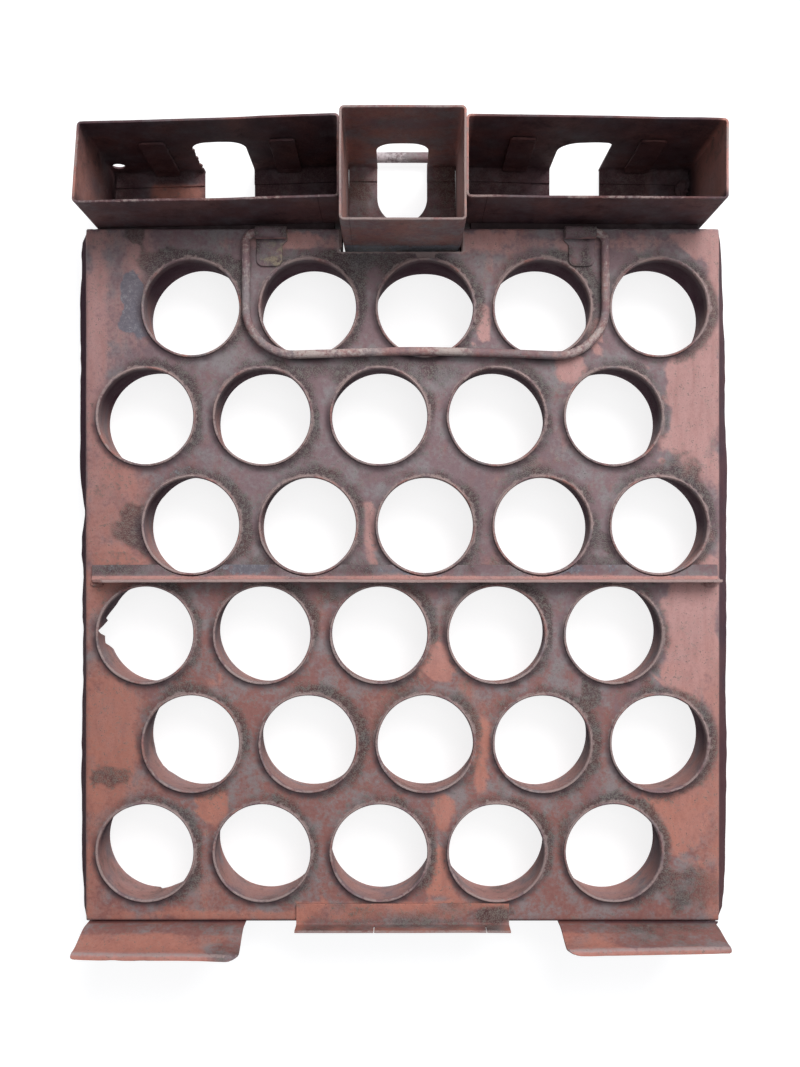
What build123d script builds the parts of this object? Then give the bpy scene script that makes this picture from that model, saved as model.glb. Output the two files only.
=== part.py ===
"""Pressed-sheet milk bottle crate: a face plate with thirty bottle collars, three open boxes
along one end, two flared feet at the other, and a wire bail that folds flat on the face.

The crate lies on its back, on the collars' rims and the boxes' backs, at Z = 0. X runs across
it, Y from the feet to the boxes, and Z up out of the face. The origin is the middle of its
footprint.
"""

import os

from build123d import *

os.makedirs("parts", exist_ok=True)

# Driving dimensions, in millimetres
sheet = 1.5  # plate, boxes, feet, straps and clips
seam = 0.1  # gap left between pieces that are welded together
face_z = 42.0  # the plate's face above the surface that the crate lies on

plate_width = 416.6
plate_length = 455.4
plate_corner = 3.0
return_depth = 20.0  # edges of the plate bent back
return_bulge = 10.5  # side returns sprung outwards at mid length
notch_gaps = (2.6, 0.9)  # left and right of the middle box

rows, columns = 6, 5
column_pitch = 76.8
row_pitch = 71.5
row_shift = 15.0  # each row stands this far right or left of the crate's centre line
first_row = 45.7  # lowest row above the plate's lower edge

bore_radius = 31.1  # bottle hole
collar_wall = 1.2
flare_radius = 35.8  # inside of the collar at its rear rim
flare_top = 34.0  # the flare ends and the round bore starts
bore_top = face_z - 1  # the round bore ends and the rolled mouth starts
mouth_radius = 31.9
lip_radius = 33.3
lip_height = 1.3

box_top = 511.6  # above the plate's lower edge, as all lengths along Y below are
box_inner = 39.2  # side boxes' inner ends, from the centre line
box_outer = 200.2
side_rim = 44.5  # side boxes' rims in front of the face
middle_half = 38.6
middle_bottom = 442.4
middle_rim = 56.0
box_corner = 3.0
lap = 9.8  # each box's top wall is lapped down over its back
slot_width = 34.5
slot_tips = {"left_box": 10.0, "middle_box": 2.0, "right_box": 7.0}  # before the face
slot_corner = 11.0  # at the slot's end in the top wall
slot_foot = 471.8  # slot's round end in the back
nail_hole = (-193.1, 17.0)  # hole through the left box's top wall: X, and height above the back
nail_hole_radius = 4.2

rod_radius = 3.6
rod_length = 60.0
rod_depth = 35.0  # rod's axis behind the face

strap_width = 17.0
strap_offset = 42.0  # from the slot's centre line
strap_front = 16.0  # strap's front end before the face
strap_sag = 2.5

rib_seat = 222.9  # underside of the rib
rib_reach = 12.0
rib_leg = 11.4
rib_sheet = 1.8
rib_bend = 2.6
rib_ends = (-203.3, 206.3)
rib_clip = 9.3  # front corner cut off the rib's left end

ledge_half = 69.7
ledge_top = 12.2
ledge_drop = 4.1
ledge_reach = 13.6
ledge_slits = (-18.6, 54.2)
slit_width = 0.8

foot_spans = {"left_foot": (-206.7, -103.0), "right_foot": (102.5, 204.8)}
foot_drops = {"left_foot": 11.3, "right_foot": 8.6}  # lip below the plate's lower edge
foot_reach = 37.0
foot_tab = 14.0
foot_corner = 5.0
foot_curl = 3.0  # radius of the lip's turned-down edge

wire_radius = 2.75
running_gap = 0.08
bail_centre = 15.1
bail_half = 117.3
pivot_height = 450.7
bail_drop = 80.3
bail_bow = 3.2
bail_elbow = 6.0
bail_corner = 31.0
clip_width = 20.4
tail_width = 17.0
tail_foot = 430.0
tail_corner = 4.5

# Places that follow from them
rod_top = box_top + seam + 2 * rod_radius
plate_y = -(rod_top - foot_drops["left_foot"]) / 2
plate_top = plate_y + plate_length
half_width = plate_width / 2
collar_outer = bore_radius + collar_wall
pivot_y = plate_y + pivot_height
pivot_z = face_z + seam + sheet + running_gap + wire_radius
box_mid = (box_inner + box_outer) / 2

side_boxes = {
    "left_box": [
        (-box_inner, 460.3),
        (-box_inner, box_top),
        (-box_outer, 506.5),
        (-box_outer - 2.0, 456.2),
    ],
    "right_box": [
        (box_inner, 460.2),
        (box_inner, box_top),
        (box_outer, 508.9),
        (box_outer, 458.9),
    ],
}
middle_box = [
    (-middle_half, middle_bottom),
    (-middle_half, box_top),
    (middle_half, box_top),
    (middle_half, middle_bottom),
]


def collar_centre(row, column):
    """Axis of a collar in the plan, rows counted from the boxes and columns from the left."""
    shift = row_shift if row % 2 == 0 else -row_shift
    x = shift + (column - (columns - 1) / 2) * column_pitch
    return x, plate_y + first_row + (rows - 1 - row) * row_pitch


def on_plate(points):
    """Points whose Y is counted from the plate's lower edge, in the crate's frame."""
    return [(x, plate_y + y) for x, y in points]


def save(builder, name):
    """Label a finished piece and write it to its own file."""
    builder.part.label = name
    export_step(builder.part, f"parts/{name}.step")


collar_centres = [collar_centre(r, c) for r in range(rows) for c in range(columns)]

# Face plate: one sheet, its four edges bent back and its top notched for the middle box
notch_foot = plate_y + middle_bottom - 2.5
with BuildPart() as face_plate:
    with BuildSketch(Plane.XY.offset(face_z - sheet)):
        with Locations((0, plate_y + plate_length / 2)):
            RectangleRounded(plate_width, plate_length, plate_corner)
    extrude(amount=sheet)
    with BuildSketch(Plane.XY.offset(face_z - return_depth)):
        for y in (plate_y + sheet / 2, plate_top - sheet / 2):
            with Locations((0, y)):
                Rectangle(plate_width - 4 * plate_corner, sheet)
    extrude(amount=return_depth)
    for side in (-1, 1):
        for y, bulge in (
            (plate_y + 2 * plate_corner, 0),
            (plate_y + plate_length / 2, return_bulge),
            (plate_top - 2 * plate_corner, 0),
        ):
            edge, sprung = side * half_width, side * (half_width + bulge)
            with BuildSketch(Plane.XZ.offset(-y)):
                with BuildLine():
                    Polyline(
                        (edge, face_z),
                        (sprung, face_z - return_depth),
                        (sprung - side * sheet, face_z - return_depth),
                        (edge - side * sheet, face_z),
                        close=True,
                    )
                make_face()
        loft()
    with BuildSketch(Plane.XY.offset(face_z - return_depth)):
        with BuildLine():
            Polyline(
                (-middle_half - notch_gaps[0], notch_foot),
                (middle_half + notch_gaps[1], notch_foot),
                (middle_half + notch_gaps[1], plate_top + seam),
                (-middle_half - notch_gaps[0], plate_top + seam),
                close=True,
            )
        make_face()
        with Locations(*collar_centres):
            Circle(collar_outer + seam)
    extrude(amount=return_depth, mode=Mode.SUBTRACT)
save(face_plate, "face_plate")

# Thirty collars, flared at the back, with a rolled lip over the face
for row in range(rows):
    for column in range(columns):
        x, y = collar_centre(row, column)
        through_axis = Plane(origin=(x, y, 0), x_dir=(1, 0, 0), z_dir=(0, -1, 0))
        lip_top = face_z + lip_height
        with BuildPart() as collar:
            with BuildSketch(through_axis):
                with BuildLine():
                    Polyline(
                        (flare_radius, 0),
                        (bore_radius, flare_top),
                        (bore_radius, bore_top),
                    )
                    TangentArc((bore_radius, bore_top), (mouth_radius, lip_top), tangent=(0, 1))
                    Polyline(
                        (mouth_radius, lip_top),
                        (lip_radius, lip_top),
                        (lip_radius, face_z + seam),
                        (collar_outer, face_z + seam),
                        (collar_outer, flare_top),
                        (flare_radius + collar_wall, 0),
                        (flare_radius, 0),
                    )
                make_face()
            revolve(axis=Axis((x, y, 0), (0, 0, 1)))
            rim = collar.edges().filter_by(GeomType.CIRCLE).group_by(Axis.Z)[-1]
            fillet(rim.sort_by(SortBy.RADIUS)[-1], radius=0.8)
        save(collar, f"collar_row{row + 1}_{column + 1}")


# Boxes: a folded shell, a back let in behind it, and a long slot round the corner of both
def box_pieces(name, corners, rim, slot_x):
    """Shell and back of one box, from the corners of its outline."""
    top_inner, top_outer = corners[1], corners[2]
    with BuildPart() as shell:
        with BuildSketch() as outline:
            with BuildLine():
                Polyline(*on_plate(corners), close=True)
            make_face()
            fillet(outline.vertices(), radius=box_corner)
            offset(amount=-sheet, mode=Mode.SUBTRACT)
        extrude(amount=face_z + rim)
        inset = sheet if top_outer[0] > top_inner[0] else -sheet
        with BuildSketch(Plane.XY.offset(sheet + seam)):
            with BuildLine():
                Polyline(
                    *on_plate(
                        [
                            (top_inner[0] + inset, top_inner[1] - sheet - lap),
                            (top_inner[0] + inset, top_inner[1] - sheet),
                            (top_outer[0] - inset, top_outer[1] - sheet),
                            (top_outer[0] - inset, top_outer[1] - sheet - lap),
                        ]
                    ),
                    close=True,
                )
            make_face()
        extrude(amount=sheet)
        slot_end = face_z + slot_tips[name]
        with BuildSketch(Plane.XZ.offset(-(plate_y + box_top - sheet - lap))):
            with Locations((slot_x, 0)):
                RectangleRounded(slot_width, 2 * slot_end, slot_corner)
        extrude(amount=-2 * lap, mode=Mode.SUBTRACT)
        with BuildSketch():
            with Locations((slot_x, plate_y + box_top)):
                SlotOverall(2 * (box_top - slot_foot), slot_width, rotation=90)
        extrude(amount=2 * sheet + 2 * seam, mode=Mode.SUBTRACT)
        if name == "left_box":
            with BuildSketch(Plane.XZ.offset(-(plate_y + top_outer[1] - 2 * sheet))):
                with Locations(nail_hole):
                    Circle(nail_hole_radius)
            extrude(amount=-4 * sheet, mode=Mode.SUBTRACT)
    with BuildPart() as back:
        with BuildSketch() as let_in:
            with BuildLine():
                Polyline(*on_plate(corners), close=True)
            make_face()
            fillet(let_in.vertices(), radius=box_corner)
            offset(amount=-sheet - seam, mode=Mode.REPLACE)
            with Locations((slot_x, plate_y + box_top)):
                SlotOverall(2 * (box_top - slot_foot), slot_width, rotation=90, mode=Mode.SUBTRACT)
        extrude(amount=sheet)
    save(shell, f"{name}_shell")
    save(back, f"{name}_back")


box_pieces("left_box", side_boxes["left_box"], side_rim, -box_mid)
box_pieces("middle_box", middle_box, middle_rim, 0)
box_pieces("right_box", side_boxes["right_box"], side_rim, box_mid)

# Sprung straps under the side boxes' top walls, either side of each slot
for name, corners in side_boxes.items():
    (inner_x, inner_y), (outer_x, outer_y) = corners[1], corners[2]
    slope = (outer_y - inner_y) / (outer_x - inner_x)
    for place, offset_x in (("outer", strap_offset), ("inner", -strap_offset)):
        x = (box_mid + offset_x) * (1 if inner_x > 0 else -1)
        lowest = inner_y + slope * (x - inner_x) - abs(slope) * strap_width / 2
        wall_y = plate_y + lowest - sheet - seam
        rear, front = 2 * sheet + 3 * seam, face_z + strap_front
        with BuildPart() as strap:
            with BuildSketch(Plane.YZ.offset(x - strap_width / 2)):
                with BuildLine():
                    hung = ThreePointArc(
                        (wall_y, front), (wall_y - strap_sag, (front + rear) / 2), (wall_y, rear)
                    )
                    Line(hung @ 1, (wall_y - sheet, rear))
                    ThreePointArc(
                        (wall_y - sheet, rear),
                        (wall_y - sheet - strap_sag, (front + rear) / 2),
                        (wall_y - sheet, front),
                    )
                    Line((wall_y - sheet, front), hung @ 0)
                make_face()
            extrude(amount=strap_width)
        save(strap, f"{name}_{place}_strap")

# Rod across the middle box's slot, on the outside of its top wall, and its two welds
rod_y = plate_y + box_top + seam + rod_radius
rod_z = face_z - rod_depth
with BuildPart() as hanger_rod:
    with BuildSketch(Plane.YZ.offset(-rod_length / 2)):
        with Locations((rod_y, rod_z)):
            Circle(rod_radius)
    extrude(amount=rod_length)
    chamfer(hanger_rod.edges(), length=0.5)
save(hanger_rod, "hanger_rod")

weld_radius = 3.0
with BuildPart() as rod_welds:
    for x in (-rod_length / 2, rod_length / 2):
        with BuildSketch(Plane.YZ.offset(x + (seam if x > 0 else -seam - weld_radius))):
            with BuildLine():
                bead = ThreePointArc(
                    (rod_y - rod_radius, rod_z - weld_radius),
                    (rod_y - rod_radius + weld_radius, rod_z),
                    (rod_y - rod_radius, rod_z + weld_radius),
                )
                Line(bead @ 1, bead @ 0)
            make_face()
        extrude(amount=weld_radius)
save(rod_welds, "rod_welds")

# Packing strips between the plate's top return and the side boxes
strip_depth = 12.0
strip_ends = (box_inner + 6, box_outer - 5)
for name, corners in side_boxes.items():
    (inner_x, inner_y), (outer_x, outer_y) = corners[0], corners[3]
    slope = (outer_y - inner_y) / (outer_x - inner_x)
    ends = [x if inner_x > 0 else -x for x in strip_ends]
    with BuildPart() as packing:
        with BuildSketch(Plane.XY.offset(face_z - 4 - strip_depth)):
            with BuildLine():
                Polyline(
                    *on_plate(
                        [
                            (ends[0], plate_length + seam),
                            (ends[0], inner_y + slope * (ends[0] - inner_x) - seam),
                            (ends[1], inner_y + slope * (ends[1] - inner_x) - seam),
                            (ends[1], plate_length + seam),
                        ]
                    ),
                    close=True,
                )
            make_face()
        extrude(amount=strip_depth)
    save(packing, f"{name}_packing")

# Rib across the middle of the face: an angle, its flat leg scalloped round the collars
rib_y = plate_y + rib_seat
rib_base = face_z + seam
with BuildPart() as middle_rib:
    with BuildSketch(Plane.YZ.offset(rib_ends[0])) as angle:
        with BuildLine():
            Polyline(
                (rib_y, rib_base),
                (rib_y + rib_leg, rib_base),
                (rib_y + rib_leg, rib_base + rib_sheet),
                (rib_y + rib_sheet, rib_base + rib_sheet),
                (rib_y + rib_sheet, rib_base + rib_reach),
                (rib_y, rib_base + rib_reach),
                close=True,
            )
        make_face()
        inside = angle.vertices().sort_by_distance((rib_ends[0], rib_y + rib_sheet, rib_base + rib_sheet))
        fillet(inside[0], radius=rib_bend)
    extrude(amount=rib_ends[1] - rib_ends[0])
    with BuildSketch(Plane.XZ.offset(-rib_y - rib_leg)):
        with BuildLine():
            Polyline(
                (rib_ends[0], rib_base + rib_reach),
                (rib_ends[0] + rib_clip, rib_base + rib_reach),
                (rib_ends[0], rib_base + rib_reach - rib_clip),
                close=True,
            )
        make_face()
    extrude(amount=rib_leg, mode=Mode.SUBTRACT)
    with BuildSketch(Plane.XY.offset(face_z)):
        with Locations(*collar_centres):
            Circle(lip_radius + seam)
    extrude(amount=rib_reach, mode=Mode.SUBTRACT)
save(middle_rib, "middle_rib")

rib_weld_radius = 3.2
with BuildPart() as rib_welds:
    for x in (rib_ends[0] + 2, rib_ends[1] - 3):
        with Locations((x, rib_y - seam - rib_weld_radius, face_z + seam)):
            Sphere(rib_weld_radius, arc_size1=0, align=(Align.CENTER, Align.CENTER, Align.MIN))
save(rib_welds, "rib_welds")

# Ledge along the foot of the face: an angle with two slits through its lip
ledge_y = plate_y - ledge_drop
ledge_base = face_z + seam
with BuildPart() as bottom_ledge:
    with BuildSketch(Plane.YZ.offset(-ledge_half)) as section:
        with BuildLine():
            Polyline(
                (ledge_y, ledge_base),
                (plate_y + ledge_top, ledge_base),
                (plate_y + ledge_top, ledge_base + sheet),
                (ledge_y + sheet, ledge_base + sheet),
                (ledge_y + sheet, ledge_base + ledge_reach),
                (ledge_y, ledge_base + ledge_reach),
                close=True,
            )
        make_face()
        outside = section.vertices().sort_by_distance((-ledge_half, ledge_y, ledge_base))
        fillet(outside[0], radius=sheet)
    extrude(amount=2 * ledge_half)
    with BuildSketch(Plane.XZ.offset(-ledge_y - sheet)):
        for x in ledge_slits:
            with Locations((x, ledge_base + 3 + ledge_reach / 2)):
                Rectangle(slit_width, ledge_reach)
    extrude(amount=2 * sheet, mode=Mode.SUBTRACT)
save(bottom_ledge, "bottom_ledge")

# Feet: sheet shelves that start under the plate's lower return, flare forwards and end in a
# turned-down lip
for name, (x_start, x_end) in foot_spans.items():
    sheet_y = plate_y - seam - sheet / 2
    lip_y = plate_y - foot_drops[name]
    lip_z = face_z + foot_reach - sheet / 2
    with BuildPart() as foot:
        with BuildSketch(Plane.YZ.offset(x_start)):
            with BuildLine():
                tab = Line((sheet_y, face_z - foot_tab), (sheet_y, face_z + 5))
                flare = Spline(
                    tab @ 1,
                    (lip_y + foot_curl, lip_z - foot_curl),
                    tangents=[(0, 1), (0, 1)],
                )
                TangentArc(flare @ 1, (lip_y, lip_z), tangent=(0, 1))
            trace(line_width=sheet)
        extrude(amount=x_end - x_start)
        with BuildSketch(Plane.XZ.offset(-plate_y - 5)):
            with Locations(((x_start + x_end) / 2, face_z + (foot_reach - foot_tab) / 2)):
                RectangleRounded(x_end - x_start, foot_reach + foot_tab, foot_corner)
        extrude(amount=3 * foot_tab, mode=Mode.INTERSECT)
    save(foot, name)

# Clips: a knuckle round the bail's end and a tail welded to the face
bail_ends = {"left": bail_centre - bail_half, "right": bail_centre + bail_half}
for side, x_leg in bail_ends.items():
    inward = 1 if side == "left" else -1
    knuckle_start = x_leg + inward * (bail_elbow + 0.3)
    knuckle_mid = knuckle_start + inward * clip_width / 2
    with BuildPart() as clip:
        with BuildSketch(Plane.YZ.offset(knuckle_mid - clip_width / 2)):
            with Locations((pivot_y, pivot_z)):
                Circle(wire_radius + running_gap + sheet)
        extrude(amount=clip_width)
        with BuildSketch(Plane.XY.offset(face_z + seam)):
            tail_end = plate_y + tail_foot
            with Locations((knuckle_mid - inward * 1.5, (pivot_y + tail_end) / 2)):
                RectangleRounded(tail_width, pivot_y - tail_end, tail_corner)
        extrude(amount=sheet)
        with BuildSketch(Plane.YZ.offset(knuckle_mid - clip_width / 2)):
            with Locations((pivot_y, pivot_z)):
                Circle(wire_radius + running_gap)
        extrude(amount=clip_width, mode=Mode.SUBTRACT)
    save(clip, f"{side}_clip")

# Bail: one bent wire, its ends turned inwards into the clips
bail_left, bail_right = bail_ends["left"], bail_ends["right"]
reach_in = bail_elbow + 0.3 + clip_width
bar_y = pivot_y - bail_drop
with BuildPart() as bail_handle:
    with BuildLine(Plane.XY.offset(pivot_z)) as wire_path:
        FilletPolyline(
            (bail_left + reach_in, pivot_y),
            (bail_left, pivot_y),
            (bail_left, bar_y),
            (bail_centre, bar_y + bail_bow),
            (bail_right, bar_y),
            (bail_right, pivot_y),
            (bail_right - reach_in, pivot_y),
            radius=[bail_elbow, bail_corner, 900, bail_corner, bail_elbow],
        )
    with BuildSketch(Plane(origin=wire_path.line @ 0, z_dir=wire_path.line % 0)):
        Circle(wire_radius)
    sweep()
save(bail_handle, "bail_handle")
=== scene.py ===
"""Looks of the pressed-sheet milk bottle crate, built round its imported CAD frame.

Lengths here are in millimetres until a mesh is made. The crate lies on its back: X runs across it,
Y from the feet to the boxes, and Z up out of the face.
"""

import math

import bmesh
import bpy
import numpy as np
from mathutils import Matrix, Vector, geometry


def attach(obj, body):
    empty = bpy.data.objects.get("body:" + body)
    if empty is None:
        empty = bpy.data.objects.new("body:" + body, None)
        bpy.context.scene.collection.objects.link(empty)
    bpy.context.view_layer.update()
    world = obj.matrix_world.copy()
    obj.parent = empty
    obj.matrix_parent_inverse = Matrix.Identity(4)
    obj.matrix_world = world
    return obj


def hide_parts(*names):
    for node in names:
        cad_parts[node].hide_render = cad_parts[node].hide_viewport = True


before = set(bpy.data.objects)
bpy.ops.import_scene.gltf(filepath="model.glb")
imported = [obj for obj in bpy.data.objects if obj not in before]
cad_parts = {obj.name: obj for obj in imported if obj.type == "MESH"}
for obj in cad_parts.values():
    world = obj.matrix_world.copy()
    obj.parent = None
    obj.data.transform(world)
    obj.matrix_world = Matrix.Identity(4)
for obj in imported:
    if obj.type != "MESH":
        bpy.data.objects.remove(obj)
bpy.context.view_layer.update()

MM = 0.001
SHEET = 1.5  # thickness of the plate, boxes, feet, straps and clips
SEAM = 0.1  # gap left between pieces that are welded together
FACE_Z = 42.0
PLATE_Y = -253.8  # the plate's lower edge
PLATE_LENGTH = 455.4
HALF_WIDTH = 208.3
PLATE_TOP = PLATE_Y + PLATE_LENGTH
PIVOT = (15.1, PLATE_Y + 450.7, 46.43)  # middle of the bail's turned-in ends
ROWS, COLUMNS = 6, 5
ROW_PITCH, COLUMN_PITCH = 71.5, 76.8
FIRST_ROW = 45.7  # lowest row above the plate's lower edge
ROW_SHIFT = 15.0  # each row stands this far right or left of the centre line


def collar_centre(row, column):
    """Axis of a collar in the plan, rows counted from the boxes and columns from the left."""
    shift = ROW_SHIFT if row % 2 == 0 else -ROW_SHIFT
    x = shift + (column - (COLUMNS - 1) / 2) * COLUMN_PITCH
    return x, PLATE_Y + FIRST_ROW + (ROWS - 1 - row) * ROW_PITCH


CENTRES = np.array([collar_centre(r, c) for r in range(ROWS) for c in range(COLUMNS)])


# ---- numbers and noise


def smooth(values, low, high):
    """0 below low, 1 above high, and a smooth ramp between them."""
    t = np.clip((np.asarray(values, float) - low) / (high - low), 0, 1)
    return t * t * (3 - 2 * t)


def lattice(x, y, z, seed):
    """Repeatable random value from 0 to 1 for each whole-numbered point."""
    mixed = (x * 374761393 + y * 668265263 + z * 1274126177 + seed * 974711) & 0xFFFFFFFF
    mixed = ((mixed ^ (mixed >> 13)) * 1274126177) & 0xFFFFFFFF
    return ((mixed ^ (mixed >> 16)) & 0xFFFF) / 65535.0


def noise(points, size, seed=0):
    """Smooth noise from -1 to 1 at 3-D points, with features about size across."""
    scaled = np.asarray(points, float) / size + 500.0
    cell = np.floor(scaled).astype(np.int64)
    part = scaled - cell
    part = part * part * (3 - 2 * part)
    total = np.zeros(len(scaled))
    for corner in np.ndindex(2, 2, 2):
        weight = np.prod(np.where(corner, part, 1 - part), axis=1)
        total += weight * lattice(*(cell + corner).T, seed)
    return 2 * total - 1


def noise_line(values, size, seed=0):
    """Noise along a line."""
    flat = np.asarray(values, float).ravel()
    return noise(np.stack([flat, flat * 0, flat * 0], 1), size, seed)


# ---- lines and sections


def rounded(corners, radii, steps=6, closed=False):
    """Points along a line through corners, each corner rounded to its radius."""
    corners = [np.array(c, float) for c in corners]
    count = len(corners)
    if isinstance(radii, (int, float)):
        radii = [radii] * count
    points = []
    for i, corner in enumerate(corners):
        if radii[i] == 0 or (not closed and i in (0, count - 1)):
            points.append(corner)
            continue
        back = corners[i - 1] - corner
        ahead = corners[(i + 1) % count] - corner
        back /= np.linalg.norm(back)
        ahead /= np.linalg.norm(ahead)
        half = math.acos(max(-1.0, min(1.0, float(back @ ahead)))) / 2
        bisector = (back + ahead) / np.linalg.norm(back + ahead)
        centre = corner + bisector * radii[i] / math.sin(half)
        start = corner + back * radii[i] / math.tan(half) - centre
        end = corner + ahead * radii[i] / math.tan(half) - centre
        sweep = math.pi - 2 * half
        for t in np.linspace(0, 1, steps + 1):
            turned = (math.sin((1 - t) * sweep) * start + math.sin(t * sweep) * end) / math.sin(sweep)
            points.append(centre + turned)
    return np.array(points)


def arc(centre, radius, start, end, steps):
    """Points on an arc, its angles in degrees."""
    angles = np.radians(np.linspace(start, end, steps + 1))
    return np.stack([centre[0] + radius * np.cos(angles), centre[1] + radius * np.sin(angles)], 1)


def divided(loop, spacing, closed=True):
    """A line with points added so that none are further apart than spacing."""
    loop = np.asarray(loop, float)
    ends = np.roll(loop, -1, axis=0) if closed else loop[1:]
    points = []
    for a, b in zip(loop, ends):
        length = np.linalg.norm(b - a)
        if length < 0.02:
            continue
        count = max(1, math.ceil(length / spacing))
        points.extend(a + (b - a) * k / count for k in range(count))
    if not closed:
        points.append(loop[-1])
    return np.array(points)


def knotted(loop, axis, values):
    """A closed line with a point added wherever it crosses one of the values on an axis."""
    points = []
    for a, b in zip(loop, np.roll(loop, -1, axis=0)):
        points.append(a)
        low, high = sorted((a[axis], b[axis]))
        crossed = [v for v in values if low + 0.15 < v < high - 0.15]
        for v in sorted(crossed, reverse=bool(a[axis] > b[axis])):
            points.append(a + (b - a) * (v - a[axis]) / (b[axis] - a[axis]))
    return np.array(points)


class Section:
    """A bent sheet's section: a line, met by distance along it, and its outward normals."""

    def __init__(self, points, outward=1, lift=0.0):
        points = np.asarray(points, float)
        runs = np.diff(points, axis=0)
        lengths = np.linalg.norm(runs, axis=1)
        runs = runs[lengths > 1e-6]
        points = np.concatenate([points[:1], points[1:][lengths > 1e-6]])
        runs /= np.linalg.norm(runs, axis=1)[:, None]
        tangents = np.concatenate([runs[:1], runs[:-1] + runs[1:], runs[-1:]])
        tangents /= np.linalg.norm(tangents, axis=1)[:, None]
        self.normals = outward * np.stack([tangents[:, 1], -tangents[:, 0]], 1)
        self.points = points + lift * self.normals
        steps = np.linalg.norm(np.diff(self.points, axis=0), axis=1)
        self.stations = np.concatenate([[0], np.cumsum(steps)])
        self.length = self.stations[-1]

    def at(self, station, depth):
        """Places on the section, sunk below its outward side by depth."""
        columns = [np.interp(station, self.stations, self.points[:, k]) for k in (0, 1)]
        normals = [np.interp(station, self.stations, self.normals[:, k]) for k in (0, 1)]
        size = np.hypot(*normals)
        return [c - depth * n / size for c, n in zip(columns, normals)]

    def nearest(self, point):
        """Distance along the section to its place nearest a point."""
        stations = np.linspace(0, self.length, 4000)
        places = np.stack(self.at(stations, 0 * stations), 1)
        return stations[np.argmin(np.linalg.norm(places - np.array(point), axis=1))]


def run_along(section, axis, slope=0.0, hinge=0.0):
    """Places for a sheet with one section all along an axis, sheared in Y by slope."""
    others = [k for k in (0, 1, 2) if k != axis]

    def place(flat, depth):
        spots = np.zeros((len(flat), 3))
        spots[:, axis] = flat[:, 0]
        spots[:, others[0]], spots[:, others[1]] = section.at(flat[:, 1], depth)
        spots[:, 1] += slope * (spots[:, 0] - hinge)
        return spots

    return place


def lines(low, high, spacing, extra=()):
    """Evenly spaced values, with extra ones let in where bends need them."""
    even = np.linspace(low, high, max(2, math.ceil((high - low) / spacing) + 1))
    kept = [v for v in even if all(abs(v - e) > spacing * 0.45 for e in extra)]
    return sorted([float(v) for v in kept] + [float(e) for e in extra])


# ---- meshes


def left_of(loop):
    """Unit vectors to the left of travel along a closed line."""
    ahead = np.roll(loop, -1, axis=0) - loop
    ahead /= np.maximum(np.linalg.norm(ahead, axis=1), 1e-9)[:, None]
    side = ahead + np.roll(ahead, 1, axis=0)
    side = np.stack([-side[:, 1], side[:, 0]], 1)
    return side / np.maximum(np.linalg.norm(side, axis=1), 1e-9)[:, None]


def area(loop):
    """Signed area of a closed line."""
    after = np.roll(loop, -1, axis=0)
    return 0.5 * float(np.sum(loop[:, 0] * after[:, 1] - after[:, 0] * loop[:, 1]))


def inside(points, loops):
    """Which points lie in the sheet, by counting the edges crossed on the way out."""
    odd = np.zeros(len(points), bool)
    for loop in loops:
        after = np.roll(loop, -1, axis=0)
        for a, b in zip(loop, after):
            if a[1] == b[1]:
                continue
            spans = (points[:, 1] >= min(a[1], b[1])) & (points[:, 1] < max(a[1], b[1]))
            crossing = a[0] + (points[:, 1] - a[1]) * (b[0] - a[0]) / (b[1] - a[1])
            odd ^= spans & (crossing > points[:, 0])
    return odd


def gap_to(points, targets):
    """Distance from each point to the nearest target."""
    nearest = np.full(len(points), 1e9)
    for start in range(0, len(points), 2000):
        block = points[start : start + 2000]
        away = np.linalg.norm(block[:, None] - targets[None], axis=2)
        nearest[start : start + 2000] = away.min(axis=1)
    return nearest


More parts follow.
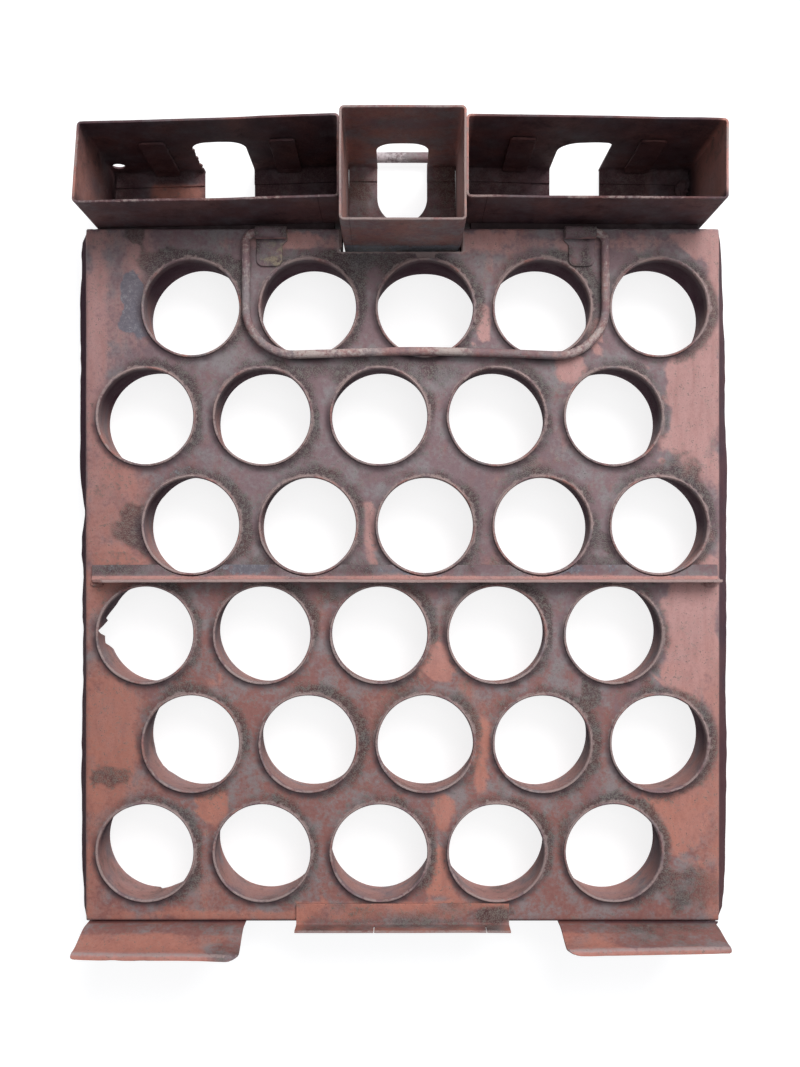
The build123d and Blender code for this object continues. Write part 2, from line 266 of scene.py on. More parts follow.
def sheet(outline, place, across, along, holes=(), thickness=SHEET, chamfer=0.25, bends=()):
    """A cut and bent sheet with broken edges: its points, faces and edge wear.

    across and along are the grid lines of its inner points, and place puts flat points where
    they go. bends are the values of along that the cut edges need points at.
    """
    spacing = min(4.0, (across[-1] - across[0]) / (len(across) - 1) * 1.3)
    loops = []
    for k, loop in enumerate([outline, *holes]):
        loop = knotted(np.asarray(loop, float), 1, bends)
        loop = divided(loop, spacing if k == 0 else 2.2)
        if (area(loop) < 0) == (k == 0):
            loop = loop[::-1]
        loops.append(loop)
    inner = [loop + chamfer * left_of(loop) for loop in loops]
    grid = np.array([(u, v) for v in along for u in across])
    rim = np.concatenate(loops)
    grid = grid[inside(grid, loops)]
    grid = grid[gap_to(grid, rim) > 0.5 * spacing]
    flat = np.concatenate([*inner, grid])
    edges, start = [], 0
    for loop in loops:
        count = len(loop)
        edges += [(start + i, start + (i + 1) % count) for i in range(count)]
        start += count
    found = geometry.delaunay_2d_cdt([Vector(p) for p in flat], edges, [], 0, 1e-6)
    placed = np.array([p[:] for p in found[0]])
    triangles = np.array([t for t in found[2] if len(t) == 3])
    middles = placed[triangles].mean(axis=1)
    triangles = triangles[inside(middles, inner)]
    index = {}
    for new, olds in enumerate(found[3]):
        for old in olds:
            index[old] = new
    count = len(placed)
    points = [place(placed, np.zeros(count)), place(placed, np.full(count, thickness))]
    edge = np.exp(-gap_to(placed, rim) / 1.2)
    wear = [edge, edge]
    faces = [tuple(t) for t in triangles] + [tuple(t[::-1] + count) for t in triangles]
    first, total = 0, 2 * count
    for loop in loops:
        size = len(loop)
        front = [index[first + i] for i in range(size)]
        rings = [front]
        for depth in (chamfer, thickness - chamfer):
            points.append(place(loop, np.full(size, depth)))
            wear.append(np.ones(size))
            rings.append(list(range(total, total + size)))
            total += size
        rings.append([i + count for i in front])
        for upper, lower in zip(rings, rings[1:]):
            for i in range(size):
                j = (i + 1) % size
                faces.append((upper[i], lower[i], lower[j], upper[j]))
        first += size
    points = np.concatenate(points)
    tri = points[triangles[len(triangles) // 2]]
    normal = np.cross(tri[1] - tri[0], tri[2] - tri[0])
    below = points[triangles[len(triangles) // 2] + count].mean(axis=0)
    if normal @ (tri.mean(axis=0) - below) < 0:
        faces = [f[::-1] for f in faces]
    return points, faces, np.concatenate(wear)


def bent(section, outline, place, across, spacing, **settings):
    """A sheet cut to an outline and bent to a section, with points enough at each bend."""
    knots = section.stations[1:-1]
    along = lines(0, section.length, spacing, knots)
    return sheet(outline, place, across, along, bends=knots, **settings)


def swept(rings, wear, capped=True):
    """A skin over rings of points, one after another."""
    rings = np.asarray(rings, float)
    count, size = rings.shape[:2]
    faces = []
    for i in range(count - 1):
        for j in range(size):
            k = (j + 1) % size
            faces.append((i * size + j, i * size + k, (i + 1) * size + k, (i + 1) * size + j))
    if capped:
        faces.append(tuple(range(size))[::-1])
        faces.append(tuple(range((count - 1) * size, count * size)))
    return rings.reshape(-1, 3), faces, np.repeat(wear, size)


def tube(path, radius, sides, seed):
    """A round bar along a line of points, with softened ends."""
    path = np.asarray(path, float)
    ahead = np.gradient(path, axis=0)
    ahead /= np.linalg.norm(ahead, axis=1)[:, None]
    up = np.array([0.0, 0.0, 1.0])
    if abs(ahead[0] @ up) > 0.9:
        up = np.array([0.0, 1.0, 0.0])
    rings = []
    walked = np.concatenate([[0], np.cumsum(np.linalg.norm(np.diff(path, axis=0), axis=1))])
    angles = np.linspace(0, 2 * math.pi, sides, endpoint=False)
    for i, point in enumerate(path):
        side = np.cross(ahead[i], up)
        side /= np.linalg.norm(side)
        over = np.cross(side, ahead[i])
        around = np.outer(np.cos(angles), side) + np.outer(np.sin(angles), over)
        swell = radius * (1 + 0.02 * noise(point + 6 * around, 9.0, seed))
        rings.append(point + around * swell[:, None])
    for end, inward in ((0, 1), (-1, -1)):
        tip = rings[end].mean(axis=0)
        closer = tip + (rings[end] - tip) * 0.8
        outward = -inward * ahead[end] * radius * 0.12
        rings.insert(0 if end == 0 else len(rings), closer + outward)
    wear = 0.5 + 0.5 * noise_line(np.arange(len(rings)) * walked[-1] / len(rings), 14.0, seed)
    return swept(rings, wear)


def lump(centre, size, seed, rough):
    """A rough rounded bead, such as a weld or a crust of rust."""
    builder = bmesh.new()
    bmesh.ops.create_icosphere(builder, subdivisions=3, radius=1.0)
    points = np.array([v.co[:] for v in builder.verts])
    faces = [tuple(v.index for v in f.verts) for f in builder.faces]
    builder.free()
    swell = 1 + rough * noise(points * 2 + seed, 0.8, seed) + 0.5 * rough * noise(points * 5, 0.9, seed + 1)
    points = points * swell[:, None] * np.array(size) + np.array(centre)
    return points, faces, np.full(len(points), 0.35)


# ---- wear, by place

# Where the red paint is still bright: X, Y, half-width, half-length, strength
FRESH_SPOTS = [
    (52, 138, 7, 14, 0.9),
    (110, 110, 10, 11, 0.8),
    (126, 133, 6, 12, 0.9),
    (-21, 3, 6, 22, 0.7),
    (23, -84, 17, 15, 0.9),
    (51, -144, 8, 28, 0.8),
    (27, -182, 8, 16, 0.75),
    (25, -223, 9, 20, 0.7),
    (-190, -128, 20, 44, 0.75),
    (-124, -177, 10, 20, 0.75),
    (-124, -106, 7, 14, 0.5),
    (-60, -150, 6, 18, 0.45),
    (-160, -150, 8, 22, 0.5),
    (181, -177, 24, 38, 0.75),
    (191, 100, 22, 70, 0.9),
    (189, -56, 20, 66, 0.85),
    (150, 66, 12, 12, 0.6),
    (-201, 120, 10, 76, 0.6),
    (-198, 30, 14, 60, 0.55),
    (-205, 196, 9, 5, 0.6),
    (-68, 193, 18, 6, 0.85),
    (52, 195, 22, 6, 0.8),
    (192, 191, 14, 9, 0.85),
    (-60, 192, 60, 5, 0.5),
    (60, 191, 200, 6, 0.45),
    (204, 150, 5, 70, 0.7),
    (-110, -249, 90, 5, 0.55),
    (0, -246, 70, 7, 0.7),
]
# Where grime and lichen sit, beyond the usual ring round each hole
GRIME_SPOTS = [
    (-150, 178, 34, 12, 0.8),
    (-178, 197, 8, 6, 1.0),
    (-112, 176, 14, 10, 0.7),
    (-30, 182, 40, 10, 0.6),
    (-192, -158, 16, 10, 0.8),
    (186, 44, 14, 16, 0.8),
    (145, -22, 60, 12, 0.6),
    (190, -232, 22, 16, 0.6),
    (125, -96, 8, 26, 0.7),
    (60, -248, 20, 5, 0.7),
    (138, -6, 12, 10, 0.6),
    (-20, -20, 150, 10, 0.45),
    (-190, -16, 22, 9, 0.6),
    (-170, 6, 24, 20, 0.85),
    (-10, 108, 70, 10, 0.55),
    (-92, -50, 14, 22, 0.6),
    (100, -110, 12, 14, 0.5),
    (-60, -40, 30, 8, 0.5),
    (-192, 18, 16, 34, 0.5),
]
# Where the paint is gone, or so thin that grey shows
BARE_SPOTS = [
    (-177.5, 160, 9.5, 17, 1.0),
    (-173, 150, 8, 12, 1.0),
    (-180, 139, 10, 8, 0.85),
    (-171, 134, 6, 6, 0.75),
    (-70, 0, 120, 45, 0.24),
    (-150, 40, 40, 35, 0.3),
    (40, -60, 60, 40, 0.2),
]


def spots(points, table):
    """Strength of a table's spots at each point, their edges broken by noise."""
    total = np.zeros(len(points))
    ragged = 1 + 0.4 * noise(points, 9.0, 5) + 0.25 * noise(points, 3.5, 6)
    for x, y, wide, long, strength in table:
        away = np.hypot((points[:, 0] - x) / wide, (points[:, 1] - y) / long) * ragged
        total = np.maximum(total, strength * (1 - smooth(away, 0.6, 1.2)))
    return total


def weather(points):
    """How worn the crate is at each point, with the painted shadow beside the collars' lips, as named
    values: a piece limits them to 0 to 1.
    """
    flat = points[:, :2]
    away = np.full(len(points), 1e9)
    facing = np.zeros(len(points))
    fouled = np.zeros(len(points))
    for number, centre in enumerate(CENTRES):
        offset = flat - centre
        distance = np.hypot(offset[:, 0], offset[:, 1])
        nearer = distance < away
        away = np.where(nearer, distance, away)
        turn = np.degrees(np.arctan2(offset[:, 1], offset[:, 0]))
        facing = np.where(nearer, turn, facing)
        strength = 0.55 + 0.45 * float(lattice(number, 3, 7, 2))
        fouled = np.where(nearer, strength, fouled)
    upper_right = 0.5 + 0.5 * np.cos(np.radians(facing - 25))
    lower_left = 0.5 + 0.5 * np.cos(np.radians(facing + 115))
    on_face = smooth(points[:, 2], 36, 41)
    ring = 1 - smooth(away, 34, 45)
    margin = smooth(np.abs(points[:, 0] - 10), 150, 196)
    broad, middle, small = noise(points, 60.0, 11), noise(points, 21.0, 12), noise(points, 8.0, 13)
    fresh = 0.08 + 0.40 * margin + 0.18 * broad + 0.2 * middle + 0.12 * small
    fresh = np.maximum(fresh, spots(points, FRESH_SPOTS) * on_face)
    fresh = fresh - 0.35 * ring * upper_right * fouled * on_face
    grime = 0.10 + ring * (0.12 + 0.66 * upper_right) * fouled + 0.2 * middle + 0.12 * small
    grime = np.maximum(grime, spots(points, GRIME_SPOTS) * on_face) - 0.4 * fresh * (1 - ring)
    # Painted shadow: a dark band just outside each collar's lip, strongest on its lower left, away from the
    # light
    crevice = (1 - smooth(away, 33.0, 38.5)) * (0.25 + 0.75 * smooth(lower_left, 0.3, 0.95)) * on_face
    lower_end = smooth(70 - points[:, 1] - 0.35 * points[:, 0], 0, 260)
    return {
        "fresh": fresh,
        "grime": grime,
        "bare": spots(points, BARE_SPOTS) * on_face,
        "warm": lower_end + 0.25 * broad + 0.15 * small,
        "crevice": crevice,
        "deep": 0.0,
    }


# ---- finished pieces


def piece(name, parts, material, stands_for, look=None, body="crate"):
    """One object from parts, each its points, faces and edge wear, in place of a CAD node."""
    points, faces, wear, start = [], [], [], 0
    for part_points, part_faces, part_wear in parts:
        points.append(part_points)
        wear.append(part_wear)
        faces += [tuple(int(i) + start for i in face) for face in part_faces]
        start += len(part_points)
    points = np.concatenate(points)
    mesh = bpy.data.meshes.new(name)
    mesh.from_pydata((points * MM).tolist(), [], faces)
    mesh.update()
    mesh.shade_smooth()
    mesh.set_sharp_from_angle(angle=math.radians(38))
    values = weather(points)
    values["edge"] = np.concatenate(wear)
    values.update(look(points) if look else {})
    for key, numbers in values.items():
        # Painted shade darkens a colour; below 0 the value paints light onto a dark paint instead
        limited = np.clip(numbers, -3.0 if key == "deep" else 0.0, 1.0)
        layer = mesh.attributes.new(key, "FLOAT", "POINT")
        layer.data.foreach_set("value", np.broadcast_to(limited, len(points)).astype(np.float32))
    mesh.materials.append(material)
    made = bpy.data.objects.new(name, mesh)
    bpy.context.scene.collection.objects.link(made)
    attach(made, body)
    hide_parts(stands_for)


class Graph:
    """Short calls for building a material's nodes."""

    def __init__(self, name):
        self.material = bpy.data.materials.new(name)
        self.material.use_nodes = True
        self.tree = self.material.node_tree
        self.tree.nodes.clear()
        self.place = self.node("ShaderNodeTexCoord").outputs["Object"]

    def node(self, kind, values=None, **settings):
        made = self.tree.nodes.new(kind)
        for key, value in settings.items():
            setattr(made, key, value)
        for key, value in (values or {}).items():
            if isinstance(value, bpy.types.NodeSocket):
                self.tree.links.new(value, made.inputs[key])
            else:
                made.inputs[key].default_value = value
        return made

    def noise(self, scale, detail=4.0, rough=0.55, stretch=None):
        place = self.place
        if stretch:
            place = self.node("ShaderNodeMapping", {0: place, 3: stretch}).outputs[0]
        values = {"Vector": place, "Scale": scale, "Detail": detail, "Roughness": rough}
        return self.node("ShaderNodeTexNoise", values).outputs[0]

    def named(self, name):
        return self.node("ShaderNodeAttribute", attribute_name=name).outputs["Fac"]

    def calc(self, operation, a, b=0.0, clamp=False):
        return self.node("ShaderNodeMath", {0: a, 1: b}, operation=operation, use_clamp=clamp).outputs[0]

    def over(self, colour, mask, strength, top):
        """A colour with another laid over it through a mask."""
        return self.mix(self.calc("MULTIPLY", mask, strength), colour, top)

    def blend(self, *terms):
        """Sum of sockets, each with its weight, noise being centred on nothing first."""
        total = None
        for socket, weight, centre in terms:
            part = self.calc("MULTIPLY", self.calc("SUBTRACT", socket, centre), weight)
            total = part if total is None else self.calc("ADD", total, part)
        return total

    def step(self, value, low, high):
        values = {"Value": value, "From Min": low, "From Max": high}
        return self.node("ShaderNodeMapRange", values, interpolation_type="SMOOTHSTEP").outputs[0]

    def mix(self, factor, a, b):
        values = {0: factor, 6: self.colour(a), 7: self.colour(b)}
        return self.node("ShaderNodeMix", values, data_type="RGBA").outputs[2]

    def colour(self, value):
        return value if isinstance(value, bpy.types.NodeSocket) else (*value, 1.0)

    def scaled(self, colour, value):
        """A colour made lighter or darker by a value."""
        grey = self.node("ShaderNodeCombineColor", {0: value, 1: value, 2: value}).outputs[0]
        values = {0: 1.0, 6: colour, 7: grey}
        return self.node("ShaderNodeMix", values, data_type="RGBA", blend_type="MULTIPLY").outputs[2]

    def finish(self, colour, roughness, heights, specular):
        """The shader, with each height in millimetres."""
        height = self.blend(*[(socket, size, 0.0) for socket, size in heights])
        bump = self.node("ShaderNodeBump", {"Height": height, "Distance": MM, "Strength": 1.0})
        values = {
            "Base Color": colour,
            "Roughness": roughness,
            "Specular IOR Level": specular,
            "Normal": bump.outputs[0],
        }
        shader = self.node("ShaderNodeBsdfPrincipled", values)
        self.node("ShaderNodeOutputMaterial", {0: shader.outputs[0]})
        return self.material


# Linear colours
PINK = (0.355, 0.200, 0.188)
ORANGE = (0.345, 0.140, 0.105)
MAUVE = (0.163, 0.107, 0.116)
BROWN = (0.200, 0.088, 0.078)
GREY = (0.188, 0.172, 0.176)
GREY_GREEN = (0.135, 0.128, 0.112)
# Soot, and also the colour of the painted shadow beside the collars' lips
SOOT_AND_SHADOW = (0.030, 0.018, 0.022)
LICHEN = (0.235, 0.215, 0.130)
STEEL = (0.118, 0.116, 0.138)
FLECK = (0.26, 0.26, 0.275)
RUBBED = (0.27, 0.200, 0.19)
# Colour of painted shade
PAINTED_SHADE_WINE = (0.028, 0.008, 0.016)
DULL_STEEL = (0.42, 0.37, 0.38)
BRIGHTNESS = 1.16


def worn_paint(name, darkness=0.0, grime=1.0, rubbed=RUBBED, tint=SOOT_AND_SHADOW, rough=0.74):
    """Old red-oxide paint: bright where it is thick, greyed elsewhere, fouled, chipped and rubbed, with
    painted shade and painted shadow laid into its colour.
    """
    g = Graph(name)
    broad, middle = g.noise(15, 3), g.noise(80, 7, 0.66)
    fine, grain = g.noise(400, 5, 0.62), g.noise(1500, 3, 0.6)
    streak = g.noise(170, 4, 0.6, stretch=(1.0, 0.22, 1.0))
    dusty = g.noise(46, 7, 0.68)
    fresh = g.blend((g.named("fresh"), 1.0, 0.0), (middle, 0.85, 0.5), (fine, 0.45, 0.5), (streak, 0.4, 0.5))
    fresh = g.step(fresh, 0.16, 0.66)
    ruddy = g.blend((middle, 0.8, 0.5), (streak, 0.6, 0.5), (g.named("warm"), 0.55, 0.0))
    dull = g.mix(g.step(ruddy, -0.05, 0.55), MAUVE, BROWN)
    pale = g.step(g.blend((dusty, 1.0, 0.0), (fine, 0.35, 0.5)), 0.42, 0.64)
    dull = g.over(dull, pale, 0.75, GREY)
    bright_red = g.mix(g.named("warm"), PINK, ORANGE)
    bright_red = g.over(bright_red, g.step(streak, 0.40, 0.75), 0.35, BROWN)
    colour = g.mix(fresh, dull, bright_red)
    dust = g.step(g.blend((fine, 1.0, 0.0), (grain, 0.8, 0.5), (middle, 0.4, 0.5)), 0.54, 0.70)
    colour = g.over(colour, dust, 0.5, GREY_GREEN)
    soiled = g.blend((g.named("grime"), grime, 0.0), (middle, 0.95, 0.5), (fine, 0.55, 0.5))
    soiled = g.step(soiled, 0.22, 0.66)
    crust = g.mix(g.step(g.blend((grain, 1.0, 0.0), (fine, 0.5, 0.5)), 0.40, 0.66), SOOT_AND_SHADOW, GREY_GREEN)
    flecks = g.step(g.blend((fine, 0.8, 0.1), (grain, 0.9, 0.5)), 0.50, 0.62)
    crust = g.over(crust, flecks, 0.8, LICHEN)
    colour = g.over(colour, soiled, 0.74, crust)
    worn = g.blend((g.named("edge"), 0.9, 0.0), (fine, 0.9, 0.5), (middle, 0.6, 0.5))
    worn = g.step(worn, 0.40, 0.64)
    colour = g.over(colour, worn, 0.8, rubbed)
    stripped = g.blend((g.named("bare"), 1.0, 0.0), (middle, 0.9, 0.5), (fine, 0.6, 0.5))
    stripped = g.step(stripped, 0.36, 0.54)
    metal = g.mix(g.step(g.blend((grain, 0.7, 0.0), (fine, 0.6, 0.0)), 0.70, 0.80), STEEL, FLECK)
    colour = g.over(colour, stripped, 0.9, metal)
    # Painted shadow beside each collar's lip, laid on in soot colour
    lip_shadow_mask = g.step(g.blend((g.named("crevice"), 1.0, 0.0), (fine, 0.3, 0.5)), 0.0, 0.9)
    colour = g.over(colour, lip_shadow_mask, 0.88, SOOT_AND_SHADOW)
    pits = g.step(g.blend((grain, 1.0, 0.0), (fine, 0.6, 0.5)), 0.62, 0.74)
    colour = g.over(colour, pits, 0.6, SOOT_AND_SHADOW)
    # Painted shade, mixed towards dark wine and eased where the edges are rubbed
    shade = g.calc("MULTIPLY", g.named("deep"), g.calc("SUBTRACT", 1.0, g.calc("MULTIPLY", worn, 0.5)))
    colour = g.mix(shade, colour, PAINTED_SHADE_WINE)
    # A darker paint, with random tone and the painted shade added in
    if darkness:
        deep = g.blend((middle, 0.9, 0.5), (broad, 0.4, 0.5), (g.named("deep"), 1.0, 0.0))
        deep = g.calc("ADD", darkness, deep, clamp=True)
        deep = g.calc("MULTIPLY", deep, g.calc("SUBTRACT", 1.0, g.calc("MULTIPLY", worn, 0.9)))
        colour = g.mix(deep, colour, tint)
    light = g.blend((broad, 0.35, 0.5), (fine, 0.75, 0.5), (grain, 0.45, 0.5))
    colour = g.scaled(colour, g.calc("ADD", light, BRIGHTNESS))
    roughness = g.blend((soiled, 0.2, 0.0), (fine, 0.3, 0.5), (stripped, -0.2, 0.0))
    roughness = g.calc("ADD", roughness, rough, clamp=True)
    gloss = g.calc("SUBTRACT", 0.22, g.calc("MULTIPLY", g.named("deep"), 0.2), clamp=True)
    heights = [(fresh, 0.04), (soiled, 0.14), (fine, 0.16), (grain, 0.09), (middle, 0.3), (pits, -0.1)]
    return g.finish(colour, roughness, heights, gloss)


paint = worn_paint("worn red paint")
collar_paint = worn_paint("collar paint")
box_rims, box_soot = (0.20, 0.155, 0.145), (0.028, 0.011, 0.017)
box_paint = worn_paint("dark box paint", darkness=0.70, rubbed=box_rims, tint=box_soot)
strap_rims, strap_soot = (0.08, 0.045, 0.045), (0.04, 0.014, 0.017)
strap_paint = worn_paint("strap paint", darkness=0.80, rubbed=strap_rims, tint=strap_soot)
wire_paint = worn_paint("wire paint", grime=0.6, rubbed=(0.34, 0.29, 0.27))
clip_paint = worn_paint("clip paint", grime=1.3, rubbed=(0.25, 0.20, 0.145))
rod_paint = worn_paint("rod steel", rubbed=DULL_STEEL, rough=0.5)
weld_paint = worn_paint("weld paint", grime=1.3, darkness=0.2)
# Near-black paint: a painted shadow for the packing strips in the gap under the boxes
gap_shadow_paint = worn_paint("shaded paint", darkness=0.93, tint=(0.03, 0.018, 0.02))

# ---- face plate

BEND = 2.2  # radius of the bent edges
RETURN_DEPTH = 20.0
PLATE_HOLE = 32.4  # radius
NOTCH_LEFT, NOTCH_RIGHT = -41.2, 39.5
NOTCH_FOOT = PLATE_Y + 439.9
RELIEF = 1.4  # how far short of each corner the bent edges stop

# Distance up the plate, and how far each side's rear edge is sprung outwards there
SPRING = {
    -1: (
        [0, 13, 40, 120, 135, 150, 210, 226, 242, 270, 290, 303, 430, 455],
        [6.0, 7.0, 8.6, 9.0, 8.4, 7.8, 7.6, 7.0, 9.0, 6.3, 9.0, 9.7, 9.2, 7.2],
    ),
    1: (
        [0, 13, 29, 60, 123, 155, 202, 234, 265, 297, 344, 376, 391, 407, 423, 439, 455],
        [7.0, 8.9, 10.2, 10.9, 11.5, 10.9, 11.5, 10.9, 11.5, 11.5, 10.2, 9.5, 8.9, 8.2, 7.6, 7.2, 6.2],
    ),
}


def side_spring(side, y):
    """How far a side's rear edge is sprung outwards, for places along Y."""
    stations, offsets = SPRING[side]
    waver = 0.5 * noise_line(y, 16.0, 20 + side) + 0.3 * noise_line(y, 7.0, 30 + side)
    return np.interp(y - PLATE_Y, stations, offsets) + waver


def bent_over(beyond, lean):
    """Across and down from a bend's start, for distance beyond it and the flap's lean."""
    bend_angle = math.pi / 2 - lean
    turned = np.clip(beyond / BEND, 0, bend_angle)
    straight = np.maximum(beyond - BEND * bend_angle, 0)
    across = BEND * np.sin(turned) + straight * np.cos(bend_angle)
    down = BEND * (1 - np.cos(turned)) + straight * np.sin(bend_angle)
    return across, down, turned


def place_plate(flat, depth):
    """Places on the plate for flat points, its four edges bent back."""
    x, y = flat[:, 0], flat[:, 1]
    side = np.where(x < 0, -1, 1)
    sprung = np.where(x < 0, side_spring(-1, y), side_spring(1, y))
    lean = np.arctan(sprung / (RETURN_DEPTH - BEND))
    over_x = np.maximum(np.abs(x) - (HALF_WIDTH - BEND), 0)
    across, down, turned = bent_over(over_x, lean)
    middle = PLATE_Y + PLATE_LENGTH / 2
    end = np.where(y < middle, -1, 1)
    over_y = np.maximum(np.abs(y - middle) - (PLATE_LENGTH / 2 - BEND), 0)
    along, fallen, tipped = bent_over(over_y, over_y * 0)
    placed = np.zeros((len(flat), 3))
    placed[:, 0] = side * (np.minimum(np.abs(x), HALF_WIDTH - BEND) + across - depth * np.sin(turned))
    placed[:, 1] = middle + end * (
        np.minimum(np.abs(y - middle), PLATE_LENGTH / 2 - BEND) + along - depth * np.sin(tipped)
    )
    placed[:, 2] = FACE_Z - down - fallen - depth * np.cos(turned) * np.cos(tipped)
    calm = np.stack([x, y, 0 * x], 1)
    placed[:, 2] += 0.18 * noise(calm, 45.0, 41) - 0.12
    return placed


def plate_outline():
    """The plate's flat pattern: its face, four flaps with relieved corners, and the notch."""
    flap = RETURN_DEPTH - BEND + BEND * math.pi / 2
    right, top = HALF_WIDTH - BEND, PLATE_TOP - BEND
    left, foot = -right, PLATE_Y + BEND
    nib = 2.3  # how far the face runs into the bend at a corner
    relieved = [(-RELIEF, flap), (-RELIEF, nib), (nib, nib), (nib, -RELIEF), (flap, -RELIEF)]
    corners = []
    for x, y, turned in ((right, foot, 1), (right, top, -1), (left, top, 1), (left, foot, -1)):
        side, end = np.sign(x), 1 if y == top else -1
        corners += [(x + side * wide, y + end * long) for wide, long in relieved[::turned]]
    notch = [(NOTCH_RIGHT, top + flap), (NOTCH_RIGHT, NOTCH_FOOT)]
    notch += [(NOTCH_LEFT, NOTCH_FOOT), (NOTCH_LEFT, top + flap)]
    corners = [corners[-1], *corners[:10], *notch, *corners[10:-1]]
    radii = [0.8, 0.8, 0.4, 0.7, 0.4, 0.8] * 4
    radii[11:15] = [1.0, 0.8, 0.8, 1.0]
    outline = divided(rounded(corners, radii, 3, closed=True), 3.0)
    far = np.abs(outline[:, 0]) > right + flap - 1
    outline[far, 0] += np.sign(outline[far, 0]) * 0.5 * noise_line(outline[far, 1], 5.0, 52)
    return outline


arc_steps = BEND * math.pi / 2 * np.array([0, 0.25, 0.5, 0.75, 1.0])
bend_x = [s * (HALF_WIDTH - BEND + a) for s in (-1, 1) for a in arc_steps]
mid_y = PLATE_Y + PLATE_LENGTH / 2
bend_y = [mid_y + s * (PLATE_LENGTH / 2 - BEND + a) for s in (-1, 1) for a in arc_steps]
reach_x, reach_y = HALF_WIDTH + RETURN_DEPTH, PLATE_LENGTH / 2 + RETURN_DEPTH
grid_x = lines(-reach_x, reach_x, 3.2, bend_x)
grid_y = lines(mid_y - reach_y, mid_y + reach_y, 3.2, bend_y)
outline = knotted(plate_outline(), 0, bend_x)
bores = [arc(c, PLATE_HOLE, 0, 360, 90)[:-1] for c in CENTRES]
plate = sheet(outline, place_plate, grid_x, grid_y, bores, bends=bend_y)


def plate_look(points):
    """The bent-back edges carry painted shade, the lower edge a painted shadow, and the face painted shade
    darkening it towards its upper left.
    """
    # Painted shade on the bent-back edges, by how far they fall behind the face
    fallen = FACE_Z - points[:, 2]
    # Painted shadow along the plate's lower edge, above the feet
    lower_edge_shadow = 1 - smooth(points[:, 1], PLATE_Y + 0.5, PLATE_Y + 2.5)
    # Painted shade darkening the left of the face, more so towards its top
    left = smooth(-points[:, 0], 115, 185) * (0.10 + 0.12 * smooth(points[:, 1], -60, 100))
    return {"deep": 0.86 * smooth(fallen, 0.9, 2.6) + 0.6 * lower_edge_shadow + left}


def notch_flap(inner_x, gap):
    """A flap bent back from one side of the notch, ending a gap above its foot."""

    def place(flat, depth):
        return np.stack([inner_x - depth, flat[:, 0], flat[:, 1]], 1)

    low, high = (NOTCH_FOOT + gap, FACE_Z - RETURN_DEPTH), (PLATE_TOP - 1.0, FACE_Z - 1.6)
    corners = [low, (high[0], low[1]), high, (low[0], high[1])]
    return sheet(corners, place, lines(low[0], high[0], 4.0), lines(low[1], high[1], 4.0))


flaps = [notch_flap(NOTCH_LEFT + 1.3, 3.0), notch_flap(NOTCH_RIGHT + 0.8, 0.4)]
piece("plate_sheet", [plate, *flaps], paint, "face_plate", plate_look)

# ---- collars

SIDES = 84
WALL = 1.2
WALL_TOP = 41.0
# The wall's inner radius at heights above the crate's back, and the rolled lip's section
WALL_HEIGHTS, WALL_RADII = (0, 12, 24, 34, 41), (35.5, 33.9, 32.6, 31.7, 31.25)
LIP = [(31.35, 42.3), (31.7, 42.9), (32.15, 43.15), (32.6, 43.0), (32.9, 42.5), (32.9, 42.05), (32.5, 41.9)]
# Rear rims that rust has eaten, by row and column: the bite's middle and half-width in degrees,
# and its height
TORN = {(3, 0): (176, 26, 33.0), (5, 0): (-82, 9, 7.0), (2, 0): (155, 14, 4.0), (4, 0): (215, 20, 5.0)}
# Rear rims knocked inwards, by row and column: the dent's middle in degrees, and its depth
DENTS = {
    (3, 0): (0, 1.4),
    (0, 2): (90, 2.2),
    (5, 1): (90, 1.3),
    (5, 2): (90, 1.3),
    (5, 3): (150, 1.6),
    (0, 1): (0, 1.4),
    (4, 0): (0, 1.3),
}


def apart(angles, middle):
    """Degrees between angles in radians and a middle in degrees."""
    return np.abs((np.degrees(angles) - middle + 180) % 360 - 180)


def collar(row, column):
    """One collar: a bell-mouthed tube with a rolled lip and a battered rear rim."""
    number = row * COLUMNS + column
    angles = np.linspace(0, 2 * math.pi, SIDES, endpoint=False)
    circle = np.stack([np.cos(angles), np.sin(angles), 0 * angles], 1)
    rim = 0.45 + 0.45 * noise(circle * 30, 14.0, 60 + number) + 0.25 * noise(circle * 30, 4.0, 90 + number)
    if (row, column) in TORN:
        middle, half, height = TORN[(row, column)]
        teeth = 0.8 + 0.5 * noise(circle * 30, 3.0, 7 + number)
        rim += height * teeth * (1 - smooth(apart(angles, middle) / half, 0.55, 1.0))
    rim = np.maximum(rim, 0.05)
    buckled = 0.45 * noise(circle * 30, 22.0, 120 + number)
    if (row, column) in DENTS:
        middle, depth = DENTS[(row, column)]
        buckled -= depth * np.exp(-((apart(angles, middle) / 38) ** 2))
    rings, wear = [], []

    def wall_ring(height, outwards):
        level = rim + (WALL_TOP - rim) * height / WALL_TOP
        loose = (1 - smooth(level, 4, 30)) * buckled
        radius = np.interp(level, WALL_HEIGHTS, WALL_RADII) + outwards + loose
        lean = 0.6 * (1 - level / WALL_TOP)
        rings.append(np.stack([radius * circle[:, 0] + lean, radius * circle[:, 1], level], 1))
        wear.append(0.6 if height < 2 else 0.1)

    for height in (0, 3, 8, 16, 24, 33, 41):
        wall_ring(height, 0.0)
    ripple = 0.18 * noise(circle * 30, 11.0, 150 + number)
    for radius, height in LIP:
        spread = radius + ripple * (height > 42.2)
        rings.append(np.stack([spread * circle[:, 0], spread * circle[:, 1], 0 * angles + height], 1))
        wear.append(0.75 if height > 42.9 else 0.35)
    for height in (40.4, 33, 24, 16, 8, 3, 0):
        wall_ring(height, WALL)
    rings.append(rings[0])
    wear.append(wear[0])
    points, faces, edge = swept(rings, wear, capped=False)
    last = len(points) - SIDES
    faces = [tuple(i % last if i >= last else i for i in face) for face in faces]
    centre = np.array([*CENTRES[number], 0.0])
    return points[:last] + centre, faces, edge[:last]


